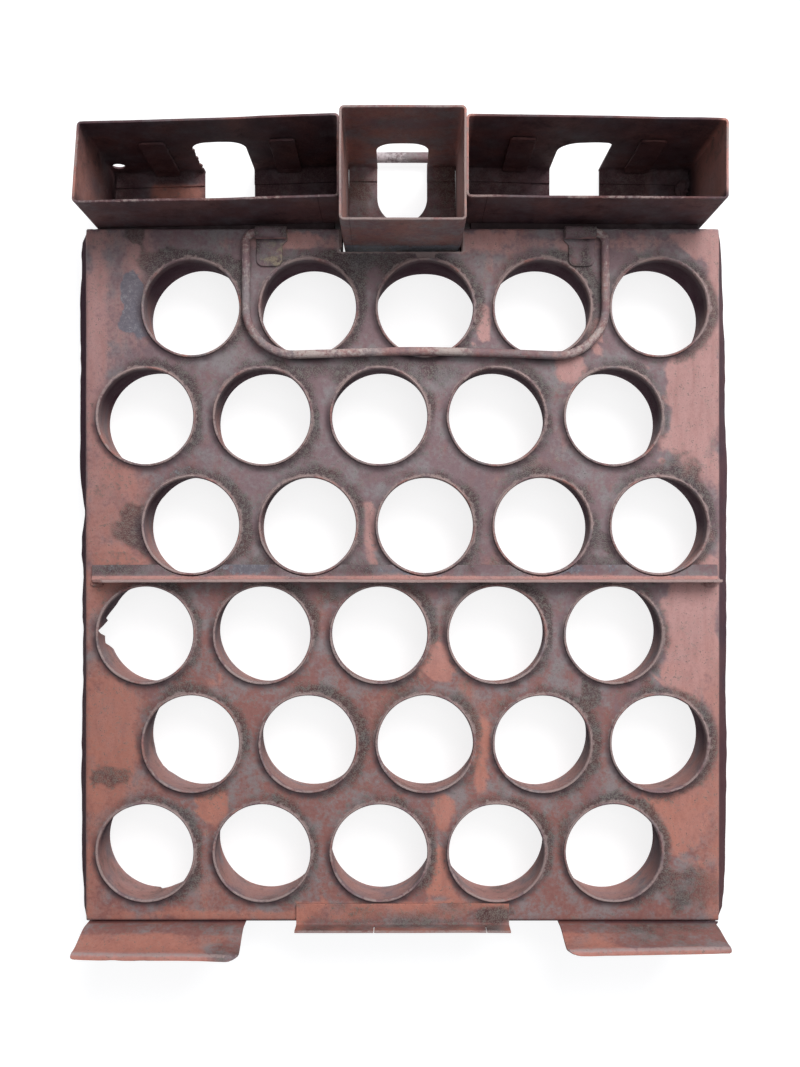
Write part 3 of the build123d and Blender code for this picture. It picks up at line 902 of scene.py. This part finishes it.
def collar_look(centre):
    """Wear of one collar, with painted shade where its wall faces down the crate and redder paint, partly
    painted light, where it faces up.
    """

    def values(points):
        offset = points[:, :2] - centre
        turn = np.arctan2(offset[:, 1], offset[:, 0])
        shaded = 0.5 + 0.5 * np.cos(turn - math.radians(80))
        wall = 1 - smooth(points[:, 2], 40.0, 42.5)
        mottle = noise(points, 9.0, 190)
        # Painted shade on the walls facing down the crate; walls facing up get redder paint, partly painted
        # light
        return {
            "fresh": 0.25 + 0.3 * mottle + wall * (0.35 - 0.5 * shaded),
            "grime": 0.2 + 0.3 * noise(points, 11.0, 191),
            "warm": 0.35 + 0.3 * mottle,
            "deep": np.maximum(wall * (0.1 + 0.88 * smooth(shaded, 0.15, 0.7)) + 0.08 * mottle, 0),
            "edge": 0.12 + 0.5 * (1 - wall) + 0.4 * (1 - wall) * noise(points, 7.0, 192),
            "crevice": 0.0,
            "bare": 0.0,
        }

    return values


for row in range(ROWS):
    for column in range(COLUMNS):
        label = f"row{row + 1}_{column + 1}"
        made = collar(row, column)
        look = collar_look(CENTRES[row * COLUMNS + column])
        piece(f"collar_tube_{label}", [made], collar_paint, f"collar_{label}", look)

# ---- boxes

BOX_CORNER = 3.0
SLOT_HALF = 17.25
SLOT_FOOT = PLATE_Y + 471.8  # its round end in the back
LAP = 9.8  # how far a top wall's folded edge reaches over the back
BOX_MID = 119.7  # side boxes' slots, from the centre line
BOXES = {
    "left_box": [(-39.2, 460.3), (-39.2, 511.6), (-200.2, 506.5), (-203.6, 456.2)],
    "middle_box": [(-38.6, 442.4), (-38.6, 511.6), (38.6, 511.6), (38.6, 442.4)],
    "right_box": [(39.2, 460.2), (39.2, 511.6), (200.2, 508.9), (200.2, 458.9)],
}
# Rims in front of the face, and the slots' places along X
RIMS = {"left_box": 44.5, "middle_box": 56.0, "right_box": 44.5}
SLOTS = {"left_box": -BOX_MID, "middle_box": 0.0, "right_box": BOX_MID}
# How far the slot's two sides run up the top wall, and the radius of the corner after each
SLOT_ENDS = {
    "left_box": ((51.0, 11.0), (51.5, 10.0)),
    "middle_box": ((43.2, 12.0), (43.2, 12.0)),
    "right_box": ((46.5, 15.0), (48.5, 5.0)),
}


def buckle(place, amount, size, seed):
    """A placing rule with a gentle dent added, the same on both sides of the sheet."""

    def dented(flat, depth):
        true = place(flat, depth)
        still = place(flat, 0 * depth)
        shift = np.stack([noise(still, size, seed + k) for k in (0, 1, 2)], 1)
        return true + amount * shift * np.array([1.0, 1.0, 0.25])

    return dented


def inset_box(corners, amount):
    """A box's outline drawn in by an amount, in the crate's frame."""
    loop = np.array([(x, PLATE_Y + y) for x, y in corners])
    middle = loop.mean(axis=0)
    return loop + amount * np.sign(middle - loop)


def inside_look(name):
    """Extra wear of a box: soot inside, redder end walls lightened by painted light, a grey band under the
    middle box also lifted by painted light, and rubbed rims.
    """
    loop = inset_box(BOXES[name], 0)
    low, high = loop.min(axis=0), loop.max(axis=0)
    rim = FACE_Z + RIMS[name]
    outer_x = low[0] if name == "left_box" else high[0]
    top_rub, side_rub = (0.75, 0.9) if name == "middle_box" else (0.3, 0.7)
    overall = -0.6 if name == "middle_box" else 0.0
    # End walls get redder paint and are lightened below 0 on the shade value: painted light
    end_light = 0.85 if name == "right_box" else 0.5

    def values(points):
        x, y, z = points.T
        ends = np.minimum(np.abs(x - low[0]), np.abs(x - high[0]))
        end_wall = (1 - smooth(ends, 2, 6)) * smooth(z, 6, 40) * smooth(y, low[1] + 2, low[1] + 8)
        inner = (ends > 1) & (y < high[1] - 0.8) & (y > low[1] + 1)
        low_down = inner * (1 - smooth(z, 3, 14))
        # A band under the middle box: grey paint, and painted light lifting it out of shade
        under = smooth(low[1] + 1.2 - y, 0.0, 0.6) * (1 - smooth(z, 46, 52)) * (name == "middle_box")
        middle = noise(points, 15.0, 201)
        top_wall = smooth(y, high[1] - 9, high[1] - 5)
        rubbed = smooth(z, rim - 1.8, rim - 0.2) * (top_rub * top_wall + side_rub * (1 - top_wall))
        streak = (1 - smooth(np.abs(y - 238.5), 3, 8)) * (1 - smooth(np.abs(x + 156), 12, 24)) * (z < 5)
        outer = 1 - smooth(np.abs(x - outer_x), 2, 6)
        return {
            "fresh": 0.3 + 0.4 * end_wall * (0.4 + 0.6 * outer) + 0.25 * middle + 0.7 * streak,
            "grime": 0.15 + 0.35 * low_down + 0.25 * middle + 0.4 * under - 0.4 * streak,
            "warm": 0.55 + 0.4 * middle + streak,
            "edge": rubbed * (0.75 + 0.35 * noise(points, 11.0, 203)),
            "crevice": 0.0,
            "bare": 0.55 * under,
            "deep": overall - end_light * end_wall - 0.35 * streak - 0.4 * under,
        }

    return values


def slot_mouth(name, seed, slot_at):
    """The slot's outline in a top wall: distance up the wall, and along the section."""
    (near_end, near_round), (far_end, far_round) = SLOT_ENDS[name]
    near, far = slot_at - SLOT_HALF, slot_at + SLOT_HALF
    crown = (max(near_end, far_end) + 0.8, slot_at + (6.3 if far_round < 8 else 0))
    mouth = [(0.0, near), (near_end, near), crown, (far_end, far), (0.0, far)]
    mouth = divided(rounded(mouth, [0, near_round, 30, far_round, 0], 7), 1.6, closed=False)
    if name == "left_box":
        ragged = smooth(mouth[:, 1], slot_at + 10, slot_at + 16) * smooth(mouth[:, 0], 4, 10)
        mouth[:, 1] += ragged * (0.5 + 0.9 * noise_line(mouth[:, 0], 3.2, seed + 3))
    return mouth


def box_walls(name, seed, loop, slope):
    """A box's four walls, folded from one strip whose ends meet in the bottom wall."""
    rim = FACE_Z + RIMS[name]
    split = loop[0] + (loop[3] - loop[0]) * 0.08
    walk = rounded([split, *loop, split], [0, *[BOX_CORNER] * 4, 0], 5)
    section = Section(walk, outward=1 if area(loop) > 0 else -1)
    place = buckle(run_along(section, 2), 0.45, 55.0, seed)
    knots = [s for s, gap in zip(section.stations[1:], np.diff(section.stations)) if gap < 2]
    slot_at = section.nearest((SLOTS[name], loop[1, 1] + slope * (SLOTS[name] - loop[1, 0])))
    low_end, high_end = 0.05, section.length - 0.05
    lip = divided(np.array([(rim, high_end), (rim, low_end)]), 3.0, closed=False)
    lip[:, 0] += 0.35 * noise_line(lip[:, 1], 26.0, seed + 5) + 0.12 * noise_line(lip[:, 1], 5.0, seed + 6)
    mouth = slot_mouth(name, seed, slot_at)
    outline = np.array([(0.0, low_end), *mouth, (0.0, high_end), *lip])
    holes = []
    if name == "left_box":
        nail = section.nearest((-193.1, loop[2, 1]))
        pin = section.nearest((-201.0, PLATE_Y + 487.5))
        holes = [arc((17.0, nail), 4.2, 0, 360, 20)[:-1], arc((21.0, pin), 0.8, 0, 360, 8)[:-1]]
    across, along = lines(0, rim, 4.2), lines(0, section.length, 4.2, knots)
    return sheet(outline, place, across, along, holes, bends=knots)


def box_laps(name, seed, loop, slope):
    """The top wall's lower edge, folded down over the back on both sides of the slot."""
    wall_y = loop[1, 1] - SHEET
    fold_corners = [(wall_y + 0.1, 6.2), (wall_y + 0.1, 3.15), (wall_y - LAP, 3.15)]
    fold = Section(rounded(fold_corners, 2.2, 4))
    place = buckle(run_along(fold, 0, slope, loop[1, 0]), 0.25, 30.0, seed + 9)
    low_x, high_x = sorted((loop[1, 0], loop[2, 0]))
    left_lap = (low_x + SHEET + 0.3, SLOTS[name] - SLOT_HALF)
    right_lap = (SLOTS[name] + SLOT_HALF, high_x - SHEET - 0.3)
    laps = []
    for start, end in (left_lap, right_lap):
        strip = [(start, 0), (end, 0), (end, fold.length), (start, fold.length)]
        laps.append(bent(fold, strip, place, lines(start, end, 3.5), 2.5))
    return laps


def box_back(name, seed, slope):
    """A box's flat back, let in behind its walls and cut out round the slot."""
    inner = inset_box(BOXES[name], SHEET + 0.15)
    slot_x = SLOTS[name]
    gap = arc((slot_x, SLOT_FOOT + SLOT_HALF), SLOT_HALF, 180, 360, 20)
    sides = (slot_x - SLOT_HALF, slot_x + SLOT_HALF)
    notch = [(x, inner[1, 1] + slope * (x - inner[1, 0])) for x in sides]
    tops = sorted(inner[1:3].tolist())
    feet = sorted(inner[[0, 3]].tolist())
    plan = np.array([feet[0], tops[0], notch[0], *gap, notch[1], tops[1], feet[1]])

    def place(flat, depth):
        still = np.stack([flat[:, 0], flat[:, 1], 0 * flat[:, 0]], 1)
        lift = 0.25 + 0.25 * noise(still, 40.0, seed + 20)
        return np.stack([flat[:, 0], flat[:, 1], lift + SHEET - depth], 1)

    low, high = plan.min(axis=0), plan.max(axis=0)
    return sheet(plan, place, lines(low[0], high[0], 4), lines(low[1], high[1], 4))


def box(name, seed):
    """Shell and back of one box."""
    loop = inset_box(BOXES[name], 0)
    slope = (loop[2, 1] - loop[1, 1]) / (loop[2, 0] - loop[1, 0])
    look = inside_look(name)
    shell = [box_walls(name, seed, loop, slope), *box_laps(name, seed, loop, slope)]
    piece(f"{name}_folded_shell", shell, box_paint, f"{name}_shell", look)
    back = [box_back(name, seed, slope)]
    if name == "right_box":
        back.append(lump((194.5, PLATE_Y + 495.0, 4.0), (4.5, 6.0, 3.0), seed + 30, 0.5))
    piece(f"{name}_back_sheet", back, box_paint, f"{name}_back", look)


for order, name in enumerate(BOXES):
    box(name, 300 + 40 * order)

# Sprung straps, hung under the side boxes' top walls
STRAP_HALF = 8.5
STRAP_OFFSET = 42.0  # from the slot's centre line
for name in ("left_box", "right_box"):
    (inner_x, inner_y), (outer_x, outer_y) = BOXES[name][1], BOXES[name][2]
    slope = (outer_y - inner_y) / (outer_x - inner_x)
    for label, offset in (("outer", STRAP_OFFSET), ("inner", -STRAP_OFFSET)):
        x = (BOX_MID + offset) * (1 if inner_x > 0 else -1)
        wall_y = PLATE_Y + inner_y + slope * (x - inner_x) - SHEET - 0.35
        hung = [(wall_y - 0.5, 57.5), (wall_y - 0.3, 53.0), (wall_y - 0.9, 30.0), (wall_y - 0.4, 9.0)]
        hung = rounded([*hung, (wall_y - 1.4, 4.5)], [0, 5, 60, 5, 0], 7)
        section = Section(hung, outward=-1, lift=-0.05)
        left, right, end = x - STRAP_HALF, x + STRAP_HALF, section.length
        strip = rounded([(left, 0), (right, 0), (right, end), (left, end)], 2.5, 3, closed=True)
        place = buckle(run_along(section, 0, slope, x), 0.3, 18.0, 500 + int(x))
        made = bent(section, strip, place, lines(left, right, 2.6), 2.6)
        strap = f"{name}_{label}"
        piece(f"{strap}_spring_strap", [made], strap_paint, f"{strap}_strap", inside_look(name))

# ---- rod and welds

ROD_Y = PLATE_Y + 511.6 + SEAM + 3.6
ROD_Z = FACE_Z - 35.0
rod_x = np.linspace(-29.6, 29.6, 40)
rod_path = np.stack([rod_x, 0 * rod_x + ROD_Y, 0 * rod_x + ROD_Z], 1)
piece("hanger_rod_bar", [tube(rod_path, 3.55, 28, 610)], rod_paint, "hanger_rod")
rod_beads = [lump((s * 31.2, ROD_Y - 1.8, ROD_Z), (2.6, 2.4, 4.2), 620 + s, 0.3) for s in (-1, 1)]
piece("rod_weld_beads", rod_beads, weld_paint, "rod_welds")

# ---- rib, ledge and feet

RIB_Y = PLATE_Y + 222.9
RIB_X = (-203.3, 206.3)
RIB_SHEET = 1.8
RIB_LEG, RIB_FRONT = 11.4, 12.0  # its flat leg's width, and its height off the face
RIB_CUT = 9.3  # front corner cut off the rib's left end
LIP_ROOM = 33.6  # radius kept clear round the collars above
rib_base = FACE_Z + SEAM
rib_top, rib_back = rib_base + RIB_SHEET, RIB_Y + RIB_SHEET
rib_corners = [(RIB_Y + RIB_LEG, rib_top), (rib_back, rib_top), (rib_back, rib_base + RIB_FRONT)]
rib_section = Section(rounded(rib_corners, 2.6, 6))
# The flat leg's tip is bitten back where it meets the collars above
tip_x = np.arange(RIB_X[0], RIB_X[1], 1.0)
reach_down = np.full(len(tip_x), 1e9)
for x, y in CENTRES[10:15]:
    chord = LIP_ROOM**2 - (tip_x - x) ** 2
    reach_down = np.minimum(reach_down, np.where(chord > 0, y - np.sqrt(np.maximum(chord, 0)), 1e9))
tip_v = np.maximum(RIB_Y + RIB_LEG - reach_down, 0)
tip_v = tip_v + 0.25 * noise_line(tip_x, 9.0, 640) * (tip_v == 0)
front_x = np.arange(RIB_X[1], RIB_X[0] + RIB_CUT, -3.0)
front_v = rib_section.length + 0.25 * noise_line(front_x, 12.0, 641)
rib_cut = [(RIB_X[0] + RIB_CUT, rib_section.length), (RIB_X[0], rib_section.length - RIB_CUT)]
rib_outline = np.array([*zip(tip_x, tip_v), (RIB_X[1], 0.3), *zip(front_x, front_v), *rib_cut])
rib_place = buckle(run_along(rib_section, 0), 0.35, 70.0, 650)
rib = bent(rib_section, rib_outline, rib_place, lines(*RIB_X, 2.8), 2.2, thickness=RIB_SHEET)


def rib_look(points):
    """The rib's flat leg is grey with dirt, its bend pink, and its front edge rubbed."""
    out = points[:, 1] - RIB_Y
    flat_leg = smooth(out, 3.6, 5.2)
    front = smooth(points[:, 2], 51.5, 53.5)
    patches = noise(points, 34.0, 655)
    return {
        "fresh": (0.75 + 0.4 * patches) * (1 - flat_leg) + 0.3 * patches * flat_leg,
        "grime": 0.1 + 0.25 * flat_leg + 0.3 * noise(points, 12.0, 656),
        "warm": 0.3 * (1 - flat_leg),
        "edge": 0.95 * front + 0.3 * smooth(out, 10.6, 11.2),
        "bare": (0.42 + 0.5 * patches) * flat_leg,
        "deep": 0.12 * flat_leg,
        "crevice": 0.0,
    }


piece("rib_angle", [rib], paint, "middle_rib", rib_look)
rib_beads = []
for k, (x, y) in enumerate(((-201.5, -1.0), (-199, -1.6), (203.5, -1.0), (200.5, -1.6), (206.0, 0.8))):
    rib_beads.append(lump((x, RIB_Y + y, FACE_Z + 0.6), (2.8, 2.0, 1.5), 660 + k, 0.35))
piece("rib_weld_beads", rib_beads, weld_paint, "rib_welds")

LEDGE_HALF = 69.7
LEDGE_LEG, LEDGE_FRONT = 12.2, 13.6  # its flat leg's top edge, and its height off the face
SLITS, SLIT_LENGTH = (54.2, -18.6), 10.6
LEDGE_Y = PLATE_Y - 2.6
ledge_base = FACE_Z + SEAM
ledge_top, ledge_back = ledge_base + SHEET, LEDGE_Y + SHEET
ledge_corners = [(PLATE_Y + LEDGE_LEG, ledge_top), (ledge_back, ledge_top)]
ledge_corners += [(ledge_back, ledge_base + LEDGE_FRONT)]
ledge_section = Section(rounded(ledge_corners, 1.4, 5))
end_v = ledge_section.length
slit_top = end_v - SLIT_LENGTH
ledge_outline = [(-LEDGE_HALF, 0), (LEDGE_HALF, 0), (LEDGE_HALF, end_v)]
for x in SLITS:
    ledge_outline += [(x + 0.2, end_v), (x + 0.2, slit_top), (x - 0.2, slit_top), (x - 0.2, end_v)]
ledge_outline += [(-LEDGE_HALF, end_v)]
ledge_place = buckle(run_along(ledge_section, 0), 0.3, 40.0, 670)
ledge_x = lines(-LEDGE_HALF, LEDGE_HALF, 2.8)
ledge = bent(ledge_section, ledge_outline, ledge_place, ledge_x, 2.4, chamfer=0.2)


def ledge_look(points):
    """Bright paint on the flat leg, with a grey patch right of the middle."""
    flat_leg = smooth(points[:, 1], LEDGE_Y + 3, LEDGE_Y + 6)
    patch = 1 - smooth(np.hypot((points[:, 0] - 60) / 16, (points[:, 1] - PLATE_Y - 5) / 6), 0.5, 1.2)
    mottle = noise(points, 14.0, 680)
    return {
        "fresh": 0.25 + 0.3 * flat_leg - 0.4 * patch + 0.45 * mottle,
        "grime": 0.3 + 0.4 * patch + 0.1 * (1 - flat_leg) - 0.2 * mottle,
        "warm": 1.0,
        "edge": 0.8 * smooth(points[:, 2], 53, 56.5),
        "crevice": 0.0,
    }


piece("ledge_angle", [ledge], paint, "bottom_ledge", ledge_look)

# Each foot's ends, and how far its lip hangs below the plate at each
FEET = {"left_foot": (-206.7, -103.0, 11.0, 12.8), "right_foot": (102.5, 204.8, 9.5, 7.6)}
FOOT_CURL = 3.0  # radius of the lip
FOOT_RIM, FOOT_TAB = 37.0, 14.0  # lip in front of the face, and tab behind it


def foot(name, seed):
    """A flared shelf: a tab behind the plate's edge, a scooped slope and a turned-down lip."""
    start, end, start_drop, end_drop = FEET[name]
    sheet_y = PLATE_Y - SEAM - SHEET / 2
    lip_y, lip_z = PLATE_Y - (start_drop + end_drop) / 2, FACE_Z + FOOT_RIM - SHEET / 2
    from_point = np.array([sheet_y, FACE_Z + 5])
    to_point = np.array([lip_y + FOOT_CURL, lip_z - FOOT_CURL])
    pull = np.array([0, np.linalg.norm(to_point - from_point)])
    slope_points = []
    for t in np.linspace(0, 1, 13):
        p = (2 * t**3 - 3 * t**2 + 1) * from_point + (t**3 - 2 * t**2 + t) * pull
        p = p + (3 * t**2 - 2 * t**3) * to_point + (t**3 - t**2) * pull
        slope_points.append(p)
    curl = arc((lip_y, lip_z - FOOT_CURL), FOOT_CURL, 0, 88, 6)[1:]
    walk = np.array([(sheet_y, FACE_Z - FOOT_TAB), *slope_points, *curl])
    section = Section(walk, lift=SHEET / 2)
    strip = [(start, 0), (end, 0), (end, section.length), (start, section.length)]
    tips = [2, 8] if name == "right_foot" else [8, 2]
    strip = divided(rounded(strip, [5, 5, *tips], 5, closed=True), 3.0)
    edge = strip[:, 1] > section.length - 0.5
    strip[edge, 1] += 0.4 * noise_line(strip[edge, 0], 9.0, seed)
    straight = buckle(run_along(section, 0), 0.5, 45.0, seed + 1)

    def place(flat, depth):
        placed = straight(flat, depth)
        share = (flat[:, 0] - start) / (end - start) - 0.5
        placed[:, 1] += share * (start_drop - end_drop) * smooth(placed[:, 2], FACE_Z, lip_z)
        return placed

    made = [bent(section, strip, place, lines(start, end, 3.0), 3.0)]
    if name == "right_foot":
        made.append(lump((202.5, PLATE_Y - 1.5, FACE_Z - 0.5), (4.5, 2.0, 3.0), seed + 9, 0.5))

    def look(points):
        lip = smooth(points[:, 2], lip_z - 6, lip_z - 1)
        # Grey band along the convex bend: grey paint and a painted highlight
        grey_and_highlight_band = 1 - smooth(np.abs(points[:, 2] - 51), 3, 8)
        patches = noise(points, 26.0, seed + 3)
        if name == "left_foot":
            dull = smooth(points[:, 0], end - 30, end - 14) * smooth(points[:, 2], 62, 70)
        else:
            dull = smooth(points[:, 0], start + 22, start + 44) * (0.75 + 0.5 * patches) * (1 - 0.7 * lip)
        # Painted highlight: a pink rubbed line where the lip starts to curl
        lip_highlight = 1 - smooth(np.abs(points[:, 2] - lip_z + 1.5), 0.8, 2.2)
        # Painted shadow where the foot passes under the plate's lower edge
        tab_shadow = 1 - smooth(points[:, 2], 43.0, 46.0)
        return {
            "fresh": 0.5 + 0.3 * lip - 0.55 * grey_and_highlight_band - 0.6 * dull + 0.35 * patches,
            "grime": 0.05 + 0.15 * grey_and_highlight_band + 0.3 * dull - 0.2 * patches,
            "warm": 0.95 - 0.9 * lip_highlight,
            "edge": 0.7 * lip_highlight + 0.35 * grey_and_highlight_band * (points[:, 0] > start + 40),
            "deep": 0.7 * tab_shadow,
            "crevice": 0.0,
        }

    piece(f"{name}_flared", made, paint, name, look)


foot("left_foot", 700)
foot("right_foot", 740)

# ---- clips and bail

WIRE = 2.75  # radius
BAIL_HALF = 117.3
BAIL_DROP, BAIL_BOW = 80.3, 3.2  # the bar below its pivot, and how far its middle bows up
ELBOW = 6.0
CLIP_WIDTH = 20.4
CLIP_ROOM = 0.08  # between the wire and the clip
TAIL_HALF, TAIL_FOOT = 8.5, PLATE_Y + 430.0


def clip(side, seed):
    """A strip with one end curled round the wire and the other laid on the face."""
    inward = -side
    leg_x = PIVOT[0] + side * BAIL_HALF
    start = leg_x + inward * (ELBOW + 0.3)
    middle = start + inward * CLIP_WIDTH / 2
    tail = middle - inward * 1.5
    radius = WIRE + CLIP_ROOM + SHEET
    curl = arc(PIVOT[1:], radius, -90, 168, 26)
    walk = np.array([(TAIL_FOOT, PIVOT[2] - radius), *curl])
    section = Section(walk)
    neck = section.stations[1] - 4.0
    half = CLIP_WIDTH / 2 - 0.05
    outline = [
        (tail - TAIL_HALF, 0),
        (tail + TAIL_HALF, 0),
        (tail + TAIL_HALF, neck - 3),
        (middle + half, neck),
        (middle + half, section.length),
        (middle - half, section.length),
        (middle - half, neck),
        (tail - TAIL_HALF, neck - 3),
    ]
    outline = rounded(outline, [4.5, 4.5, 0, 0, 0.6, 0.6, 0, 0], 6, closed=True)
    place = buckle(run_along(section, 0), 0.03, 14.0, seed)
    made = bent(section, outline, place, lines(middle - half, middle + half, 2.0), 1.8)
    tail_wear = 0.45 if side < 0 else 0.28

    def look(points):
        barrel = smooth(points[:, 2], 44.0, 45.5)
        # The barrel's underside gets red paint and painted shade
        lower = 1 - smooth(points[:, 1], PIVOT[1] - 4.6, PIVOT[1] - 3.2)
        mottle = noise(points, 6.0, seed + 1)
        return {
            "fresh": 0.1 + 0.7 * lower * barrel + 0.2 * noise(points, 8.0, seed),
            "grime": 0.35 + 0.3 * mottle - 0.3 * lower * barrel,
            "deep": barrel * np.maximum(0.08 + 0.4 * lower - 0.2 * mottle, 0),
            "edge": tail_wear - 0.2 * barrel + 0.3 * noise(points, 5.0, seed + 2),
            "crevice": 0.0,
        }

    label = "left" if side < 0 else "right"
    piece(f"{label}_clip_curled", [made], clip_paint, f"{label}_clip", look)


clip(-1, 800)
clip(1, 820)

left_x, right_x = PIVOT[0] - BAIL_HALF, PIVOT[0] + BAIL_HALF
bar_y = PIVOT[1] - BAIL_DROP
inner_reach = ELBOW + 0.3 + CLIP_WIDTH - 0.6
wire_corners = [
    (left_x + inner_reach, PIVOT[1]),
    (left_x, PIVOT[1]),
    (left_x, bar_y),
    (PIVOT[0], bar_y + BAIL_BOW),
    (right_x, bar_y),
    (right_x, PIVOT[1]),
    (right_x - inner_reach, PIVOT[1]),
]
wire_line = rounded(wire_corners, [0, ELBOW, 31.0, 900.0, 31.0, ELBOW, 0], 14)
wire_line = divided(wire_line, 2.4, closed=False)
free = smooth(PIVOT[1] - wire_line[:, 1], 6, 30)
waver_x = 0.5 * noise_line(wire_line[:, 1] + 3 * wire_line[:, 0], 60.0, 850) * free
waver_y = 0.5 * noise_line(wire_line[:, 0], 55.0, 851) * free
wire_path = np.stack([wire_line[:, 0] + waver_x, wire_line[:, 1] + waver_y, 0 * waver_x + PIVOT[2]], 1)


def wire_look(points):
    """Thin paint, pinkish where hands have kept it clean."""
    return {
        "fresh": 0.12 + 0.35 * noise(points, 24.0, 860),
        "grime": 0.25 + 0.35 * noise(points, 13.0, 861),
        "edge": 0.45 + 0.4 * noise(points, 30.0, 862),
        "bare": 0.0,
        "warm": 0.3,
        "crevice": 0.0,
    }


wire = tube(wire_path, WIRE, 22, 870)
piece("bail_wire_bent", [wire], wire_paint, "bail_handle", wire_look, body="bail")

# Packing strips stay as the CAD made them, painted near-black as a painted shadow between the plate and the
# boxes
for name in ("left_box_packing", "right_box_packing"):
    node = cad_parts[name]
    node.data.materials.clear()
    node.data.materials.append(gap_shadow_paint)

# ---- floor, light and camera

floor_mesh = bpy.data.meshes.new("floor")
reach = 3.0  # metres
floor_corners = [(-reach, -reach, 0), (reach, -reach, 0), (reach, reach, 0), (-reach, reach, 0)]
floor_mesh.from_pydata(floor_corners, [], [(0, 1, 2, 3)])
floor = bpy.data.objects.new("floor", floor_mesh)
bpy.context.scene.collection.objects.link(floor)
floor.location.z = -0.0004
pale = Graph("pale floor")
floor_values = {
    "Base Color": (0.3, 0.3, 0.305, 1),
    "Roughness": 0.9,
    "Emission Color": (1, 1, 1, 1),
    "Emission Strength": 0.82,
}
floor_shader = pale.node("ShaderNodeBsdfPrincipled", floor_values)
pale.node("ShaderNodeOutputMaterial", {0: floor_shader.outputs[0]})
floor_mesh.materials.append(pale.material)

world = bpy.data.worlds.new("soft room")
bpy.context.scene.world = world
world.use_nodes = True
background = world.node_tree.nodes["Background"].inputs
background[0].default_value = (0.86, 0.92, 1.0, 1.0)
background[1].default_value = 0.28


def soft_light(name, place, size, power):
    """A square lamp, in metres and watts, aimed at the crate."""
    data = bpy.data.lights.new(name, "AREA")
    data.size, data.energy = size, power
    lamp = bpy.data.objects.new(name, data)
    lamp.location = place
    aim = Vector((0, 0, 0.04)) - Vector(place)
    lamp.rotation_euler = aim.to_track_quat("-Z", "Y").to_euler()
    bpy.context.scene.collection.objects.link(lamp)


soft_light("sky", (0.5, 1.05, 1.35), 1.0, 34.0)
soft_light("front fill", (0.35, 0.1, 2.4), 1.6, 16.0)

camera_data = bpy.data.cameras.new("camera")
camera_data.lens = 35.0
camera_data.shift_x = 0.0028
camera_data.shift_y = 0.0276
camera_data.clip_start = 0.02
camera = bpy.data.objects.new("camera", camera_data)
camera.location = (-3.6 * MM, -18.3 * MM, 723.0 * MM)
bpy.context.scene.collection.objects.link(camera)
bpy.context.scene.camera = camera
bpy.context.scene.view_settings.view_transform = "Standard"
